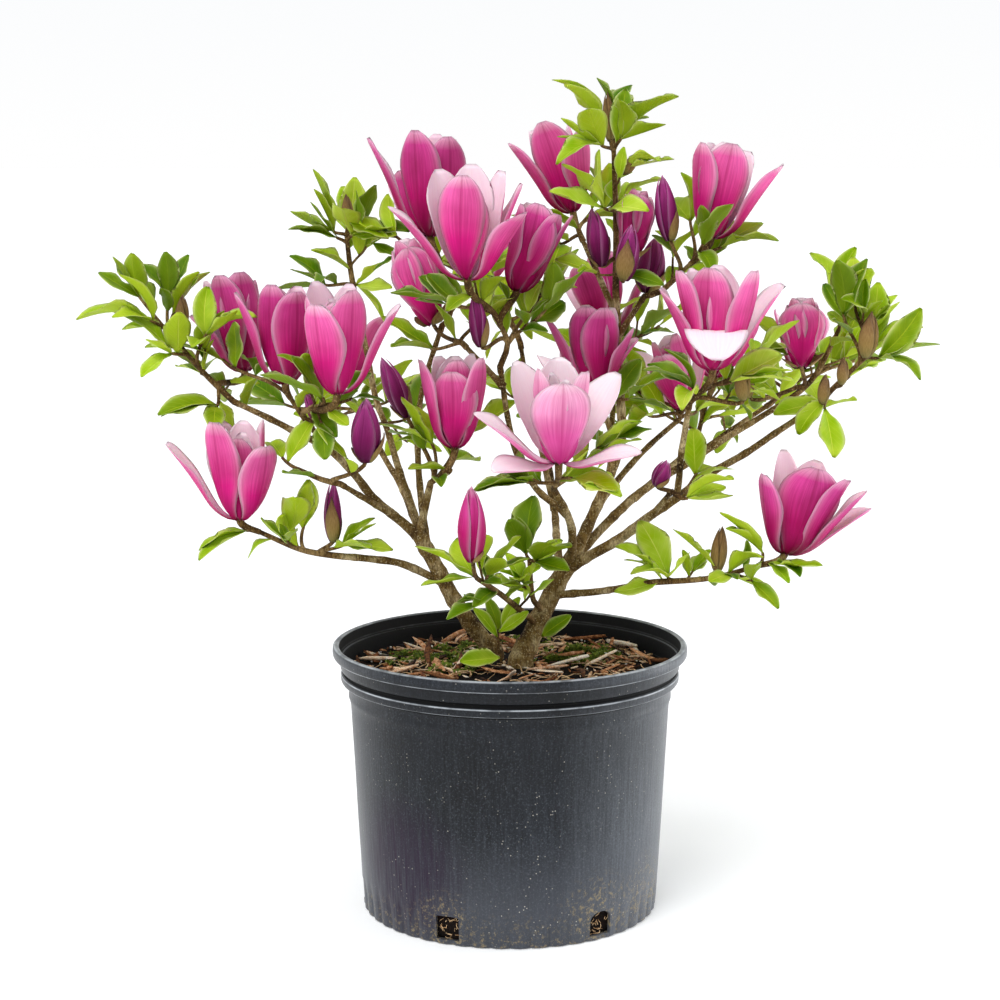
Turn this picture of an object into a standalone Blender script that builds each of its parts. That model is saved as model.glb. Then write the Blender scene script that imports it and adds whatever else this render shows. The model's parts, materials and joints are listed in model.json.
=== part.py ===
"""A jane magnolia in bloom, in its black nursery pot.

Metres, +Z up. The origin is the centre of the pot's underside, and -Y is the front.
The pot is turned from a profile and holds a solid plug of potting mix. Two trunks
stand on the mix and fork into tapering boughs. Each mass of foliage is one solid:
a stem that meets its bough's tip, twigs that branch from it, and the leaves, buds
and blooms that grow on them.
"""

import math
import random
from collections import namedtuple

import bmesh
import bpy
from mathutils import Vector
from mathutils.bvhtree import BVHTree

# Clearances
GAP = 0.0003
LEAF_CLEARANCE = 0.0010
TEPAL_CLEARANCE = 0.0005

# Pot
POT_HEIGHT = 0.212
RIM_RADIUS = 0.140
RIM_LIP = 0.0055
BAND_RADIUS = 0.1338
RING_RADIUS = 0.1333
SHOULDER_RADIUS = 0.1278
FOOT_RADIUS = 0.117
WALL = 0.003
POT_STEPS = 32
HOLE_COUNT = 6
HOLE_WIDTH = 0.019
HOLE_LOW = 0.004
HOLE_HIGH = 0.023
FIRST_HOLE = math.radians(-24.0)

# Potting mix
MIX_EDGE = 0.190
MIX_TOP = 0.196
MIX_PLATEAU = 0.045
MIX_STEPS = POT_STEPS // 2
MIX_ROUGHNESS = (-0.0012, 0.0020)

# Least share of the parts' volume that a sound Boolean result still has
LEAST_LEFT = 0.5
SHARP_ANGLE = math.radians(40.0)
WORLD_UP = Vector((0.0, 0.0, 1.0))

# Wood
KINK = 0.0009
FOOT_STRAIGHT = 0.004
LIMB_TAPER = 0.8
BOUGH_SPACING = 0.030
STEM_SPACING = 0.030
TRUNK_SIDES = 8
BOUGH_SIDES = 5
STEM_SIDES = 4
TWIG_SIDES = 3
FLARE_HEIGHT = 0.022
TWIG_RADIUS = 0.0016
TWIG_TIP_RADIUS = 0.0013
STALK_RADIUS = 0.0022
STALK_TIP_RADIUS = 0.0030
STEM_RADIUS = 0.0028
STEM_TIP_RADIUS = 0.0018
STEM_FOOT = 0.005
SHORT_SPRIG = 0.045
SHORTEST_TWIG = 0.004
TWIG_SWING = 0.33
# Shares of a twig's length from which others may fork, and what it costs a fork to bend back
FORKS = (0.25, 0.40, 0.55, 0.70, 0.85, 0.97)
LEAN_COST = 0.9
# How far the twigs that follow the rule rise, and how much of the mass's reach they take
TWIG_RISE = (-0.15, 0.80)
TWIG_REACH = (0.75, 1.10)
TWIG_LIFT = Vector((0.0, 0.0, 0.35))

# Leaves
LEAF_LENGTH = 0.047
LEAF_SPREAD = 0.22
LEAF_WIDTH = 0.46
WIDTH_SPREAD = (0.88, 1.12)
LEAF_THICKNESS = 0.0022
LEAF_WIDEST = 0.56
LEAF_DROOP = 0.07
NODE_SPACING = 0.058
LEAF_ROOT = 0.20
LEAF_RISE = 0.22
LEAF_ROLL = 0.45
LEAF_FACING = 0.4
LEAF_ABOVE_MIX = 0.004
SIDE_LEAF = 0.86
TIP_SPREAD = (28.0, 48.0)
SIDE_SPREAD = (48.0, 74.0)
# Shares of a twig's length: where leaves begin, where they end, and where its last ones sit
BARE_FOOT = 0.30
LEAFY_REACH = {"leafy": 1.0, "bloom": 0.90, "bud": 0.80, "stem": 0.96}
END_SHARES = (0.93, 0.98)
AIMED_SHARE = 0.97
GOLDEN_ANGLE = math.radians(137.5)

# Buds and blooms. A bud's girth and rise are shares of its width and length, ring by ring
FLOWER_FACE = Vector((0.0, -1.0, 0.2))
BUD_SIDES = 5
BUD_RINGS = 3
BUD_GIRTH = (0.0, 1.0, 0.80, 0.0)
BUD_RISE = (0.0, 0.32, 0.68, 1.0)
BUD_SINK = 0.002
TEPAL_THICKNESS = 0.0016
RECEPTACLE = 0.0042
TEPAL_CUP = 0.45
TEPAL_SECTOR = 0.90
TEPAL_SLIMMER = 0.88
BELLY = 48.0
BELLY_END = 0.34
TEPAL_SHARES = (0.42, 0.80, 1.0)
WHORLS = (
    # share of the length, width to length, lean closed, lean open, curl closed, curl open
    (0.95, 0.34, -6.0, 10.0, -8.0, -4.0),
    (1.00, 0.46, 6.0, 52.0, -12.0, 22.0),
)

Limb = namedtuple("Limb", "name parent at via tip root_radius tip_radius")
Bloom = namedtuple("Bloom", "base right front length opening turn shape", defaults=("",))
Bud = namedtuple("Bud", "base right front length width")
Mass = namedtuple("Mass", "name limb at stem blooms buds tufts extra reach")

# Blooms whose tepals are measured one by one. Each row gives, in degrees and millimetres, the
# turn round the axis from the front, how far out and up the tip is, the width and the curl
SHAPES = {
    "left_low": [
        (320, 26, 80, 34, -8), (45, 33, 62, 36, -10), (275, 55, 60, 26, 10),
        (105, 20, 77, 30, -8), (165, 14, 75, 30, -8), (220, 22, 74, 30, -8),
    ],
    "left_front": [
        (325, 26, 70, 38, -12), (38, 22, 80, 34, -8), (85, 48, 67, 28, 8),
        (230, 24, 82, 34, -5), (150, 20, 80, 30, -8), (280, 22, 74, 28, -8),
    ],
    "left_behind": [
        (330, 16, 77, 32, -8), (30, 22, 72, 34, -10), (280, 38, 70, 28, 4),
        (90, 22, 70, 30, -8), (150, 18, 74, 30, -8), (215, 18, 74, 30, -8),
    ],
    "left_far": [
        (325, 20, 79, 32, -8), (20, 16, 80, 32, -8), (80, 16, 72, 30, -8),
        (245, 28, 74, 28, 0), (285, 40, 48, 26, 20), (170, 14, 76, 30, -8),
    ],
    "top_left": [
        (275, 50, 77, 28, 6), (330, 24, 84, 36, -10), (35, 24, 79, 38, -12),
        (95, 20, 76, 30, -8), (155, 14, 80, 30, -8), (215, 16, 78, 30, -8),
    ],
    "top_center": [
        (350, 14, 80, 34, -8), (225, 32, 80, 38, 2), (62, 50, 54, 32, 4),
        (282, 60, 56, 26, 14), (175, 24, 84, 32, -5), (120, 30, 80, 28, -2),
    ],
    "top_center_right": [
        (350, 14, 70, 34, -10), (50, 20, 66, 26, -2), (100, 26, 68, 24, 6),
        (160, 14, 68, 28, -8), (220, 16, 68, 28, -8), (285, 16, 66, 28, -8),
    ],
    "leader_left": [
        (280, 34, 68, 26, 6), (340, 12, 76, 34, -8), (45, 32, 60, 34, -8),
        (105, 18, 68, 28, -8), (165, 12, 70, 28, -8), (225, 16, 72, 28, -8),
    ],
    "leader_right": [
        (300, 24, 72, 34, -10), (10, 18, 75, 36, -10), (75, 46, 65, 30, 4),
        (180, 12, 74, 30, -8), (240, 16, 72, 28, -8), (130, 22, 70, 28, -4),
    ],
    "right_center": [
        (335, 14, 80, 36, -8), (50, 36, 80, 34, -6), (98, 53, 63, 34, 8),
        (170, 20, 76, 32, -6), (225, 24, 74, 30, -4), (278, 42, 62, 32, 8),
    ],
    "right_low": [
        (300, 42, 60, 32, -6), (230, 30, 75, 32, 0), (8, 20, 75, 46, -10),
        (60, 32, 72, 30, 0), (100, 56, 50, 26, 10), (160, 20, 74, 30, -5),
    ],
    "center_front": [
        (5, 24, 72, 42, -8), (235, 40, 71, 36, 4), (180, 16, 77, 34, 0),
        (125, 55, 58, 36, 6), (282, 64, 44, 26, 10), (75, 62, 14, 26, 12),
    ],
    "center_behind": [
        (335, 16, 68, 32, -10), (25, 18, 67, 32, -10), (275, 40, 60, 26, 6),
        (75, 32, 50, 30, -2), (130, 20, 64, 28, -4), (205, 16, 66, 28, -8),
    ],
    "center_left": [
        (350, 16, 62, 34, -10), (290, 28, 70, 28, -6), (60, 24, 72, 28, -8),
        (120, 16, 72, 28, -8), (180, 10, 70, 28, -8), (235, 16, 70, 28, -8),
    ],
}

# Trunks stand on the mix; every other limb leaves its parent at a share of its length
FEET = {
    "trunk_left": (-0.0130, 0.018),
    "trunk_right": (0.0085, -0.010),
}
FLARE = {
    "trunk_left": 0.30,
    "trunk_right": 0.26,
}

LIMBS = (
    Limb("trunk_left", None, 0.0, [(-0.043, 0.000, 0.245)], (-0.072, -0.015, 0.302), 0.0068, 0.0057),
    Limb("trunk_right", None, 0.0, [(0.028, 0.012, 0.238)], (0.052, 0.015, 0.280), 0.0084, 0.0071),
    Limb("bough_left_long", "trunk_left", 0.97, [(-0.105, -0.020, 0.330), (-0.140, -0.030, 0.370)],
         (-0.208, -0.020, 0.403), 0.0040, 0.0022),
    Limb("bough_left_second", "bough_left_long", 0.14, [], (-0.125, -0.060, 0.345), 0.0027, 0.0020),
    Limb("bough_left_low", "trunk_left", 0.62, [(-0.083, -0.020, 0.278)],
         (-0.130, -0.040, 0.288), 0.0033, 0.0026),
    Limb("bough_left_inner", "trunk_left", 0.98, [], (-0.062, -0.035, 0.340), 0.0032, 0.0028),
    Limb("bough_left_blooms", "bough_left_long", 0.56, [], (-0.151, -0.036, 0.386), 0.0027, 0.0022),
    Limb("bough_left_high", "trunk_left", 0.93, [(-0.088, 0.030, 0.348), (-0.107, 0.055, 0.400)],
         (-0.122, 0.060, 0.473), 0.0032, 0.0020),
    Limb("bough_inner_rise", "trunk_left", 0.86, [(-0.072, 0.004, 0.350), (-0.070, 0.020, 0.403)],
         (-0.055, 0.030, 0.455), 0.0030, 0.0019),
    Limb("bough_center_front", "trunk_right", 0.92, [(0.048, -0.020, 0.305)],
         (0.035, -0.050, 0.338), 0.0037, 0.0028),
    Limb("bough_center_long", "bough_center_front", 0.72, [(0.020, -0.020, 0.338), (0.004, -0.012, 0.365)],
         (-0.007, -0.020, 0.427), 0.0027, 0.0020),
    Limb("bough_center_side", "bough_center_long", 0.92, [], (-0.033, -0.035, 0.448), 0.0026, 0.0019),
    Limb("bough_leader", "trunk_right", 0.98, [(0.070, 0.015, 0.323), (0.087, 0.015, 0.375)],
         (0.083, 0.020, 0.482), 0.0049, 0.0028),
    Limb("bough_top_left", "bough_leader", 0.93, [], (0.058, 0.045, 0.525), 0.0026, 0.0019),
    Limb("bough_top_right", "bough_leader", 0.86, [], (0.102, 0.012, 0.480), 0.0026, 0.0020),
    Limb("bough_right_low", "trunk_right", 0.86, [(0.085, 0.000, 0.295), (0.158, -0.010, 0.348)],
         (0.235, -0.005, 0.398), 0.0045, 0.0022),
    Limb("bough_right_mid", "bough_right_low", 0.46, [(0.132, -0.032, 0.368)],
         (0.135, -0.050, 0.403), 0.0027, 0.0022),
    Limb("bough_right_spur", "bough_right_low", 0.36, [], (0.122, -0.038, 0.336), 0.0026, 0.0019),
    Limb("bough_right_upper", "trunk_right", 0.90, [(0.098, 0.030, 0.323), (0.145, 0.045, 0.350)],
         (0.220, 0.060, 0.395), 0.0040, 0.0022),
    Limb("bough_right_inner", "bough_leader", 0.20, [(0.100, 0.050, 0.350)],
         (0.135, 0.075, 0.378), 0.0030, 0.0020),
    Limb("bough_right_lowest", "trunk_right", 0.62, [(0.072, -0.010, 0.255)],
         (0.107, -0.030, 0.265), 0.0032, 0.0024),
    Limb("bough_center_back", "bough_leader", 0.44, [], (0.070, 0.012, 0.402), 0.0026, 0.0020),
    Limb("bough_back_left", "trunk_left", 0.80, [(-0.085, 0.080, 0.315)],
         (-0.113, 0.140, 0.357), 0.0035, 0.0022),
    Limb("bough_back_center", "trunk_right", 0.78, [(0.037, 0.090, 0.297)],
         (0.033, 0.150, 0.355), 0.0037, 0.0024),
    Limb("bough_back_right", "trunk_right", 0.95, [(0.092, 0.100, 0.302)],
         (0.155, 0.160, 0.345), 0.0039, 0.0024),
    Limb("bough_back_high", "bough_back_center", 0.55, [(0.022, 0.120, 0.370)],
         (0.010, 0.135, 0.432), 0.0028, 0.0019),
    Limb("bough_back_far", "bough_back_right", 0.60, [(0.177, 0.140, 0.357)],
         (0.215, 0.140, 0.383), 0.0027, 0.0019),
    Limb("bough_leader_back", "bough_leader", 0.34, [], (0.085, 0.100, 0.410), 0.0028, 0.0020),
)

MASSES = (
    Mass("foliage_left_tip", "bough_left_long", 1.0, [(-0.237, -0.010, 0.427), (-0.262, -0.005, 0.455)],
         [Bloom((-0.2095, 0.032, 0.4238), -5, 0, 0.078, 0.40, 75, "left_far")],
         [Bud((-0.253, -0.005, 0.462), 1, 0, 0.026, 0.009)],
         [((-0.275, -0.020, 0.4675), (-0.3275, -0.035, 0.480)),
          ((-0.285, -0.010, 0.485), (-0.3075, -0.005, 0.515)),
          ((-0.265, 0.000, 0.485), (-0.265, -0.005, 0.520)),
          ((-0.2575, 0.010, 0.480), (-0.240, 0.020, 0.5075)),
          ((-0.2325, -0.020, 0.4575), (-0.205, -0.040, 0.475)),
          ((-0.260, -0.020, 0.4425), (-0.275, -0.045, 0.4575)),
          ((-0.225, -0.030, 0.4025), (-0.265, -0.050, 0.4025)),
          ((-0.240, 0.000, 0.425), (-0.2625, 0.020, 0.4275))],
         0, 0.050),
    Mass("foliage_left_second", "bough_left_second", 1.0, [(-0.142, -0.070, 0.352), (-0.160, -0.070, 0.360)],
         [],
         [Bud((-0.107, -0.090, 0.370), 1, 5, 0.048, 0.022)],
         [(-0.172, -0.060, 0.367)], 0, 0.045),
    Mass("foliage_left_low", "bough_left_low", 1.0, [(-0.160, -0.050, 0.295), (-0.192, -0.055, 0.310)],
         [Bloom((-0.205, -0.060, 0.320), 0, 4, 0.080, 0.60, 80, "left_low")],
         [Bud((-0.135, -0.045, 0.302), 0, 0, 0.047, 0.012)],
         [((-0.200, -0.058, 0.311), (-0.2375, -0.065, 0.300)),
          ((-0.1675, -0.055, 0.310), (-0.1625, -0.060, 0.3375)),
          ((-0.1575, -0.050, 0.3125), (-0.120, -0.070, 0.335)),
          ((-0.1275, -0.045, 0.2975), (-0.105, -0.055, 0.320))],
         0, 0.045),
    Mass("foliage_left_inner", "bough_left_inner", 1.0, [(-0.052, -0.050, 0.352)],
         [Bloom((-0.042, -0.045, 0.373), 0, 4, 0.076, 0.32, 100, "center_left")],
         [Bud((-0.080, -0.020, 0.395), -23, 0, 0.050, 0.016)],
         [((-0.045, -0.045, 0.356), (-0.0775, -0.060, 0.3575)),
          ((-0.060, -0.035, 0.375), (-0.0975, -0.045, 0.3975))],
         1, 0.050),
    Mass("foliage_left_blooms", "bough_left_blooms", 1.0, [(-0.167, -0.045, 0.411)],
         [Bloom((-0.127, -0.100, 0.420), 0, 4, 0.084, 0.55, 60, "left_front"),
          Bloom((-0.170, -0.050, 0.422), 0, 0, 0.078, 0.42, 10, "left_behind")],
         [Bud((-0.140, -0.052, 0.392), -30, 10, 0.030, 0.014)],
         [((-0.138, -0.095, 0.416), (-0.175, -0.120, 0.4475)),
          ((-0.120, -0.090, 0.414), (-0.080, -0.115, 0.4325)),
          (-0.222, -0.010, 0.437)], 0, 0.050),
    Mass("foliage_left_high", "bough_left_high", 1.0, [(-0.127, 0.060, 0.502), (-0.130, 0.060, 0.530)],
         [],
         [Bud((-0.128, 0.058, 0.540), -5, 0, 0.024, 0.008)],
         [((-0.140, 0.060, 0.5325), (-0.1525, 0.055, 0.5675)),
          ((-0.120, 0.055, 0.5325), (-0.110, 0.045, 0.5725)),
          ((-0.130, 0.070, 0.5325), (-0.1325, 0.078, 0.570)),
          ((-0.1375, 0.060, 0.5275), (-0.175, 0.050, 0.5375)),
          ((-0.125, 0.050, 0.530), (-0.090, 0.030, 0.535)),
          ((-0.1475, 0.060, 0.490), (-0.175, 0.050, 0.5025)),
          ((-0.1225, 0.060, 0.490), (-0.1025, 0.045, 0.510))], 0, 0.050),
    Mass("foliage_inner_rise", "bough_inner_rise", 1.0, [(-0.047, 0.030, 0.470), (-0.055, 0.030, 0.510)],
         [Bloom((-0.062, 0.030, 0.530), 0, 2, 0.084, 0.50, 95, "top_left")],
         [],
         [(-0.090, 0.035, 0.530)], 1, 0.050),
    Mass("foliage_center_side", "bough_center_side", 1.0, [(-0.045, -0.020, 0.453)],
         [],
         [Bud((-0.060, 0.000, 0.465), -19, 0, 0.070, 0.038)],
         [(-0.060, -0.035, 0.447)], 1, 0.045),
    Mass("foliage_center_high", "bough_center_long", 1.0, [(-0.002, -0.020, 0.450), (-0.010, -0.030, 0.470)],
         [Bloom((-0.032, -0.070, 0.502), 0, 6, 0.086, 0.80, 50, "top_center"),
          Bloom((0.005, -0.020, 0.490), 16, 0, 0.076, 0.35, 20, "top_center_right")],
         [Bud((-0.022, -0.050, 0.452), -8, 5, 0.040, 0.013)],
         [(0.030, 0.000, 0.497), (-0.045, -0.060, 0.485), (0.027, -0.030, 0.477)], 0, 0.050),
    Mass("foliage_center_front", "bough_center_front", 1.0, [(0.035, -0.090, 0.355)],
         [Bloom((0.035, -0.120, 0.372), 0, 16, 0.082, 0.80, 65, "center_front")],
         [],
         [((0.045, -0.105, 0.358), (0.0775, -0.130, 0.3575)),
          ((0.0125, -0.085, 0.352), (-0.025, -0.100, 0.3600)),
          (0.065, -0.065, 0.368)], 1, 0.045),
    Mass("foliage_center_back", "bough_center_back", 1.0, [(0.067, 0.006, 0.407)],
         [Bloom((0.065, 0.000, 0.412), 0, 2, 0.070, 0.60, 15, "center_behind")],
         [],
         [(0.092, 0.000, 0.405), (0.042, 0.000, 0.402)], 1, 0.045),
    Mass("foliage_leader_top", "bough_leader", 1.0, [(0.0825, 0.020, 0.535), (0.080, 0.015, 0.597)],
         [],
         [Bud((0.093, 0.000, 0.517), 7, 0, 0.053, 0.030),
          Bud((0.070, 0.000, 0.510), -10, 5, 0.045, 0.016), Bud((0.087, -0.018, 0.500), 7, 5, 0.043, 0.016),
          Bud((0.0775, 0.015, 0.605), -4, 0, 0.038, 0.008), Bud((0.090, 0.010, 0.580), 28, 0, 0.018, 0.007)],
         [((0.070, 0.010, 0.6200), (0.040, 0.000, 0.6575)), ((0.085, 0.005, 0.605), (0.120, -0.010, 0.645)),
          ((0.0825, 0.022, 0.6225), (0.090, 0.030, 0.650)),
          ((0.070, 0.000, 0.600), (0.0375, -0.010, 0.620)),
          ((0.090, 0.010, 0.5825), (0.1225, -0.005, 0.5975)),
          ((0.0725, 0.000, 0.5525), (0.0375, -0.020, 0.585))],
         0, 0.045),
    Mass("foliage_top_left", "bough_top_left", 1.0, [(0.053, 0.055, 0.538)],
         [Bloom((0.050, 0.060, 0.548), -18, 0, 0.070, 0.45, 85, "leader_left")],
         [],
         [(0.065, 0.050, 0.550), (0.040, 0.050, 0.523)], 1, 0.045),
    Mass("foliage_top_right", "bough_top_right", 1.0, [(0.117, 0.010, 0.488), (0.140, 0.005, 0.510)],
         [Bloom((0.155, 0.000, 0.530), 9, 3, 0.074, 0.52, 25, "leader_right")],
         [Bud((0.1225, -0.010, 0.530), -8, 0, 0.050, 0.015),
          Bud((0.108, 0.035, 0.487), 10, -5, 0.045, 0.022)],
         [((0.1625, 0.000, 0.5225), (0.1925, -0.015, 0.530)),
          ((0.140, 0.020, 0.5425), (0.133, 0.025, 0.580)),
          ((0.147, -0.015, 0.525), (0.165, -0.040, 0.560)), (0.150, 0.022, 0.505)], 0, 0.045),
    Mass("foliage_right_tip", "bough_right_low", 1.0, [(0.250, 0.000, 0.412), (0.275, 0.000, 0.437)],
         [],
         [Bud((0.275, -0.010, 0.440), 5, 3, 0.036, 0.014), Bud((0.240, -0.022, 0.406), 6, 5, 0.023, 0.008),
          Bud((0.256, -0.014, 0.420), 3, 5, 0.021, 0.008)],
         [((0.258, 0.000, 0.470), (0.2525, -0.010, 0.515)), ((0.268, 0.010, 0.478), (0.2675, 0.015, 0.515)),
          ((0.2775, 0.006, 0.462), (0.295, 0.016, 0.480)), ((0.285, 0.004, 0.4475), (0.310, 0.010, 0.4725)),
          ((0.285, -0.005, 0.4375), (0.330, -0.015, 0.4525)),
          ((0.2425, -0.018, 0.400), (0.2625, -0.040, 0.4125))],
         0, 0.050),
    Mass("foliage_right_upper", "bough_right_upper", 1.0, [(0.245, 0.060, 0.417), (0.262, 0.050, 0.455)],
         [],
         [Bud((0.232, 0.045, 0.428), -1, 0, 0.055, 0.038), Bud((0.192, 0.055, 0.402), -2, 0, 0.018, 0.007)],
         [(0.262, 0.050, 0.480)], 2, 0.050),
    Mass("foliage_right_mid", "bough_right_mid", 1.0, [(0.145, -0.065, 0.420)],
         [Bloom((0.150, -0.080, 0.436), 0, 8, 0.086, 0.76, 0, "right_center")],
         [Bud((0.176, -0.055, 0.412), -6, 4, 0.028, 0.011)],
         [((0.165, -0.068, 0.425), (0.2075, -0.080, 0.440)),
          ((0.137, -0.062, 0.420), (0.1025, -0.075, 0.4425)),
          (0.187, -0.040, 0.437)], 0, 0.045),
    Mass("foliage_right_inner", "bough_right_inner", 1.0, [(0.138, 0.076, 0.384)],
         [Bloom((0.140, 0.072, 0.390), -14, 0, 0.066, 0.50, 45)],
         [],
         [(0.112, 0.060, 0.385), (0.104, 0.065, 0.404)], 1, 0.050),
    Mass("foliage_right_low", "bough_right_lowest", 1.0, [(0.155, -0.035, 0.270), (0.192, -0.045, 0.282)],
         [Bloom((0.210, -0.050, 0.292), 15, 5, 0.080, 0.60, 15, "right_low")],
         [Bud((0.160, -0.037, 0.277), 5, 3, 0.036, 0.011)],
         [((0.1575, -0.042, 0.280), (0.125, -0.050, 0.3125)),
          ((0.117, -0.032, 0.268), (0.0925, -0.035, 0.290)),
          ((0.122, -0.033, 0.270), (0.1375, -0.040, 0.2925)),
          ((0.1675, -0.045, 0.275), (0.200, -0.060, 0.265)),
          ((0.193, -0.050, 0.292), (0.170, -0.060, 0.320)),
          ((0.1975, -0.050, 0.285), (0.212, -0.070, 0.278))],
         0, 0.045),
    Mass("foliage_right_spur", "bough_right_spur", 1.0, [(0.130, -0.045, 0.334)],
         [],
         [Bud((0.112, -0.048, 0.345), 20, 5, 0.022, 0.012)],
         [((0.135, -0.047, 0.334), (0.170, -0.055, 0.336))], 1, 0.040),
    Mass("foliage_center_left", "trunk_right", 0.34, [(-0.007, -0.050, 0.260), (-0.025, -0.115, 0.285)],
         [],
         [Bud((-0.0275, -0.130, 0.302), -1, 3, 0.056, 0.019)],
         [((-0.0275, -0.080, 0.280), (-0.070, -0.090, 0.3075)),
          ((-0.017, -0.088, 0.282), (0.015, -0.090, 0.295))],
         0, 0.045),
    Mass("foliage_center_low", "trunk_right", 0.46, [(0.0175, -0.018, 0.252), (0.015, -0.022, 0.282)],
         [],
         [],
         [((0.0125, -0.020, 0.286), (0.005, -0.025, 0.3175)),
          ((0.020, -0.028, 0.282), (0.045, -0.050, 0.302)),
          ((0.012, -0.026, 0.262), (-0.008, -0.045, 0.280))], 0, 0.045),
    Mass("foliage_back_left", "bough_back_left", 1.0, [(-0.125, 0.158, 0.375)],
         [Bloom((-0.145, 0.170, 0.397), -8, -14, 0.072, 0.55, 20)],
         [],
         [(-0.190, 0.145, 0.385), (-0.150, 0.200, 0.370), (-0.100, 0.200, 0.385), (-0.085, 0.180, 0.370)],
         0, 0.055),
    Mass("foliage_back_center", "bough_back_center", 1.0, [(0.030, 0.172, 0.370)],
         [Bloom((0.062, 0.198, 0.380), 6, -18, 0.070, 0.65, 50)],
         [],
         [(0.030, 0.220, 0.370), (0.000, 0.210, 0.390), (0.080, 0.170, 0.375)], 0, 0.050),
    Mass("foliage_back_right", "bough_back_right", 1.0, [(0.166, 0.166, 0.378)],
         [Bloom((0.175, 0.172, 0.405), 4, -10, 0.074, 0.50, 100)],
         [],
         [(0.130, 0.190, 0.375), (0.200, 0.195, 0.375), (0.165, 0.215, 0.385)], 0, 0.050),
    Mass("foliage_back_high", "bough_back_high", 1.0, [(-0.002, 0.145, 0.458), (-0.040, 0.150, 0.495)],
         [Bloom((-0.022, 0.170, 0.485), 0, -12, 0.074, 0.45, 10),
          Bloom((-0.070, 0.160, 0.520), -8, -8, 0.070, 0.30, 40)],
         [],
         [(0.035, 0.150, 0.470), (-0.050, 0.130, 0.505), (0.000, 0.190, 0.460)], 0, 0.050),
    Mass("foliage_back_far", "bough_back_far", 1.0, [(0.235, 0.155, 0.398)],
         [Bloom((0.248, 0.175, 0.412), 6, -12, 0.058, 0.30, 70)],
         [],
         [(0.270, 0.140, 0.420), (0.250, 0.200, 0.395), (0.215, 0.180, 0.410)], 0, 0.050),
    Mass("foliage_leader_back", "bough_leader_back", 1.0, [(0.085, 0.125, 0.430)],
         [Bloom((0.080, 0.140, 0.447), -4, -12, 0.070, 0.55, 35)],
         [],
         [(0.110, 0.130, 0.445), (0.055, 0.125, 0.435), (0.090, 0.165, 0.430)], 1, 0.050),
)

COLORS = {
    "pot": (0.035, 0.040, 0.048),
    "potting_mix": (0.055, 0.030, 0.018),
    "trunk": (0.240, 0.170, 0.110),
    "bough": (0.190, 0.130, 0.085),
    "foliage": (0.240, 0.330, 0.060),
}


# Scene and materials

def clear_scene():
    for thing in list(bpy.data.objects):
        bpy.data.objects.remove(thing, do_unlink=True)


def new_collection(name):
    collection = bpy.data.collections.new(name)
    bpy.context.scene.collection.children.link(collection)
    return collection


def plain_material(name, color, roughness):
    material = bpy.data.materials.new(name)
    material.use_nodes = True
    shader = material.node_tree.nodes["Principled BSDF"]
    shader.inputs["Base Color"].default_value = (*color, 1.0)
    shader.inputs["Roughness"].default_value = roughness
    shader.inputs["Metallic"].default_value = 0.0
    return material


def add_object(name, mesh, collection):
    thing = bpy.data.objects.new(name, mesh)
    collection.objects.link(thing)
    return thing


def shape_object(name, shape, collection):
    mesh = bpy.data.meshes.new(name)
    mesh.from_pydata(shape.points, [], shape.faces)
    return add_object(name, mesh, collection)


def evaluated_mesh(thing):
    bpy.context.view_layer.update()
    depsgraph = bpy.context.evaluated_depsgraph_get()
    return bpy.data.meshes.new_from_object(thing.evaluated_get(depsgraph))


def shade_round(mesh):
    """Smooth shading, apart from edges that are sharper than the set angle."""
    mesh.shade_smooth()
    mesh.set_sharp_from_angle(angle=SHARP_ANGLE)


# Shapes are plain lists of points and faces, with a tree to test what they touch

class Shape:
    def __init__(self, points, faces):
        self.points = [Vector(point) for point in points]
        self.faces = [tuple(face) for face in faces]
        self.tree = BVHTree.FromPolygons(self.points, self.faces)
        low = [min(point[axis] for point in self.points) for axis in range(3)]
        high = [max(point[axis] for point in self.points) for axis in range(3)]
        self.low = Vector(low)
        self.high = Vector(high)

    def touches(self, other):
        apart = any(
            self.low[axis] > other.high[axis] or self.high[axis] < other.low[axis]
            for axis in range(3)
        )
        return not apart and bool(self.tree.overlap(other.tree))


def shape_from_bmesh(work):
    work.normal_update()
    bmesh.ops.recalc_face_normals(work, faces=work.faces)
    bmesh.ops.triangulate(work, faces=work.faces)
    work.verts.index_update()
    points = [vert.co.copy() for vert in work.verts]
    faces = [[vert.index for vert in face.verts] for face in work.faces]
    work.free()
    return Shape(points, faces)


def ball(segments, rings):
    """A unit ball of few faces, with its poles on Z."""
    work = bmesh.new()
    bmesh.ops.create_uvsphere(work, u_segments=segments, v_segments=rings, radius=1.0)
    return work


# Paths

def smooth_path(knots, spacing):
    """Points along a smooth curve through the knots, about one for each spacing."""
    knots = [Vector(knot) for knot in knots]
    ends = [2 * knots[0] - knots[1]] + knots + [2 * knots[-1] - knots[-2]]
    points = [knots[0]]
    for before, start, finish, after in zip(ends, ends[1:], ends[2:], ends[3:]):
        count = max(1, round((finish - start).length / spacing))
        for step in range(1, count + 1):
            t = step / count
            tangent_in = (finish - before) * 0.5
            tangent_out = (after - start) * 0.5
            points.append(
                start * (2 * t**3 - 3 * t**2 + 1)
                + tangent_in * (t**3 - 2 * t**2 + t)
                + finish * (3 * t**2 - 2 * t**3)
                + tangent_out * (t**3 - t**2)
            )
    return points


def path_shares(points):
    """Each point's share of the path's length."""
    total = [0.0]
    for start, finish in zip(points, points[1:]):
        total.append(total[-1] + (finish - start).length)
    return [length / total[-1] for length in total]


def along(points, share):
    """The place and the direction at a share of a path's length."""
    shares = path_shares(points)
    for index in range(1, len(points)):
        if share <= shares[index] or index == len(points) - 1:
            part = (share - shares[index - 1]) / (shares[index] - shares[index - 1])
            place = points[index - 1].lerp(points[index], part)
            return place, (points[index] - points[index - 1]).normalized()
    return points[0], (points[1] - points[0]).normalized()


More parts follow.
